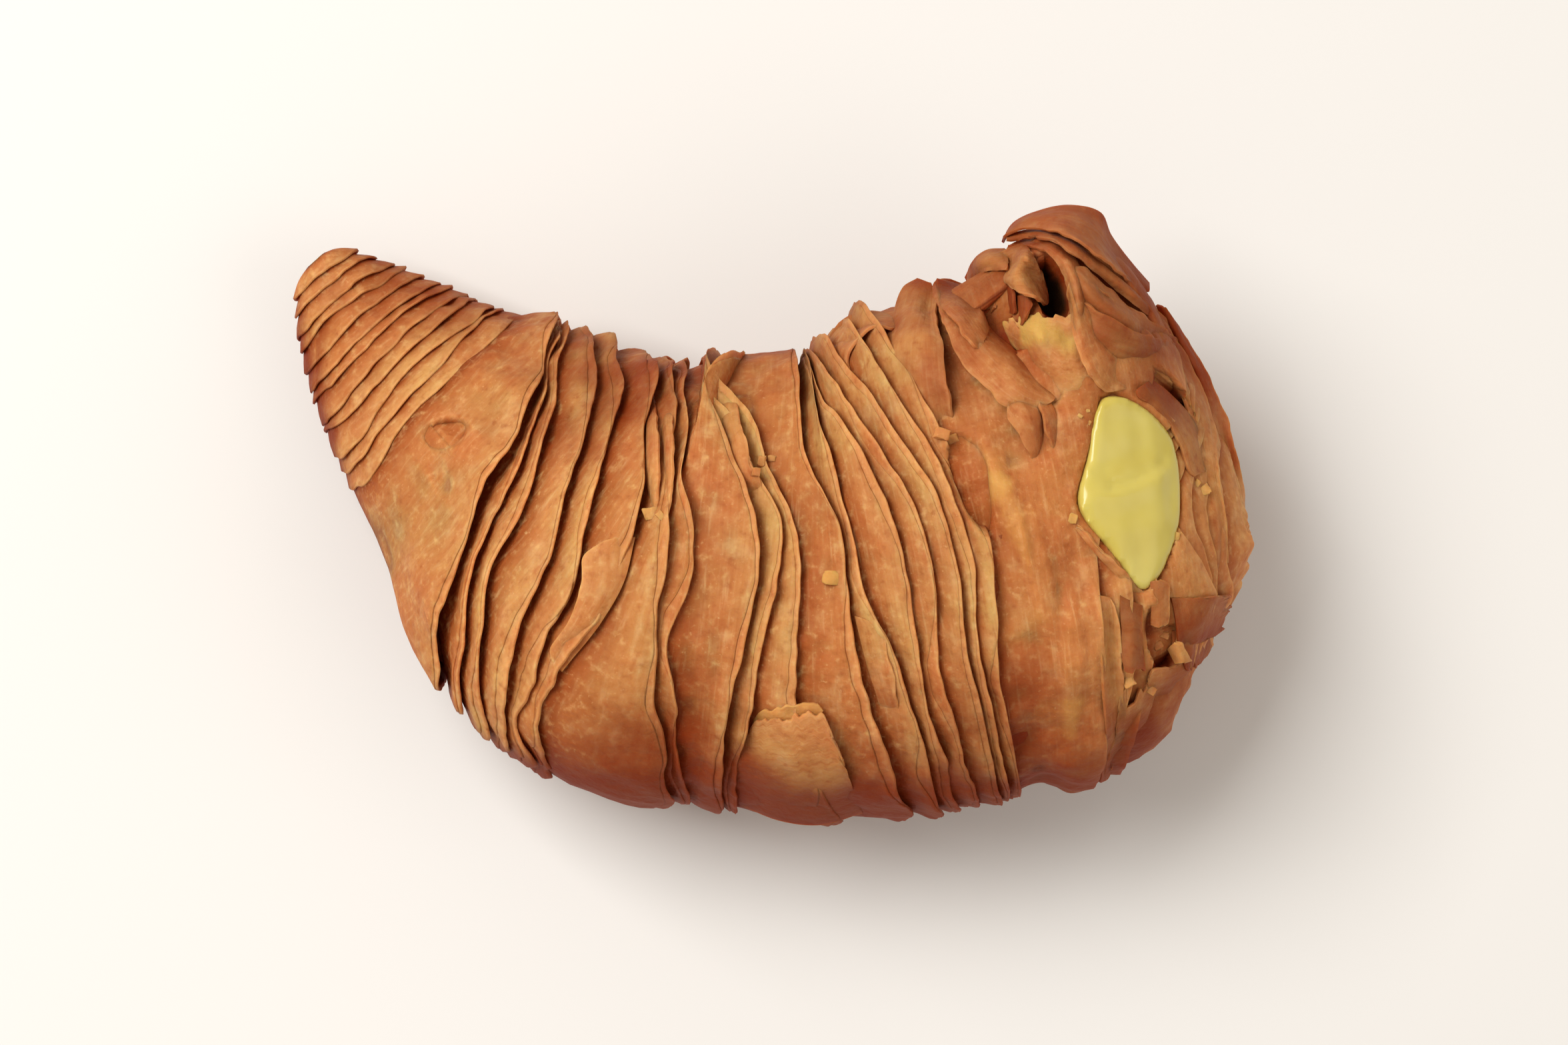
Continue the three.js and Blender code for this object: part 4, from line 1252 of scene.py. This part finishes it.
def pale_floor():
    """Plain matt card, so that the pastry stands out from it."""
    made, tree = new_material("pale_floor")
    shader = add(
        tree, "ShaderNodeBsdfPrincipled", None,
        {"Base Color": colour("#e6e3de"), "Roughness": 0.9, "Specular IOR Level": 0.1},
    )
    add(tree, "ShaderNodeOutputMaterial", None, {"Surface": shader.outputs[0]})
    return made


# ---- Stage, camera and light -------------------------------------------------------------------

# Here in metres, as in the frame.
CAMERA_PLACE = (-0.0361, -0.0314, 0.56)
CAMERA_AIM = (0.001, 0.0, 0.018)
ROOM = {"Color": (1.0, 0.92, 0.83, 1.0), "Strength": 0.45}  # warm light from all round
LIGHTS = [  # name, place, size, power
    ("window", (-0.36, 0.2, 0.62), 0.4, 5.2),
    ("bounce", (0.5, -0.2, 0.5), 0.6, 1.0),
]


def make_stage():
    """A wide floor under the pastry."""
    clear_selection()
    bpy.ops.mesh.primitive_plane_add(size=3, location=(0, 0, 0))
    floor = bpy.context.object
    floor.name = "floor"
    floor.data.materials.append(pale_floor())


def make_camera():
    """Over the pastry's lower left, looking almost straight down, as in the photograph."""
    data = bpy.data.cameras.new("camera")
    camera = bpy.data.objects.new("camera", data)
    bpy.context.scene.collection.objects.link(camera)
    camera.location = CAMERA_PLACE
    away = (camera.location - Vector(CAMERA_AIM)).normalized()
    right = Vector((0, 1, 0)).cross(away).normalized()
    camera.rotation_euler = Matrix((right, away.cross(right), away)).transposed().to_euler()
    data.sensor_width = 36
    data.lens = 132
    data.dof.use_dof = False
    bpy.context.scene.camera = camera


def make_light():
    """A large window at the upper left, a weak bounce from the right, and a warm room."""
    world = bpy.data.worlds.new("soft_room")
    world.use_nodes = True
    for key, value in ROOM.items():
        world.node_tree.nodes["Background"].inputs[key].default_value = value
    bpy.context.scene.world = world
    for name, place, size, power in LIGHTS:
        data = bpy.data.lights.new(name, "AREA")
        data.size = size
        data.energy = power
        light = bpy.data.objects.new(name, data)
        bpy.context.scene.collection.objects.link(light)
        light.location = place
        light.rotation_euler = (-Vector(place)).to_track_quat("-Z", "Y").to_euler()
    bpy.context.scene.view_settings.view_transform = "Standard"


# ---- The pastry --------------------------------------------------------------------------------

clear_selection()
make_camera()
make_light()
make_stage()
core = make_core()
plain_core = make_core(pitted=False)
plain = surface([plain_core])
bpy.data.objects.remove(plain_core)
leaves = make_leaves()
leaves += make_loose_leaves(surface([core]), plain, surface(leaves))
crumbs = make_crumbs(surface(leaves))
dough = baked_dough()
for piece in [core, *leaves, crumbs]:
    piece.data.materials.clear()
    piece.data.materials.append(dough)
    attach(piece, "root")
    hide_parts("dough")

cream = make_cream()
cream.data.materials.append(pistachio_cream())
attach(cream, "root")
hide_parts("cream")
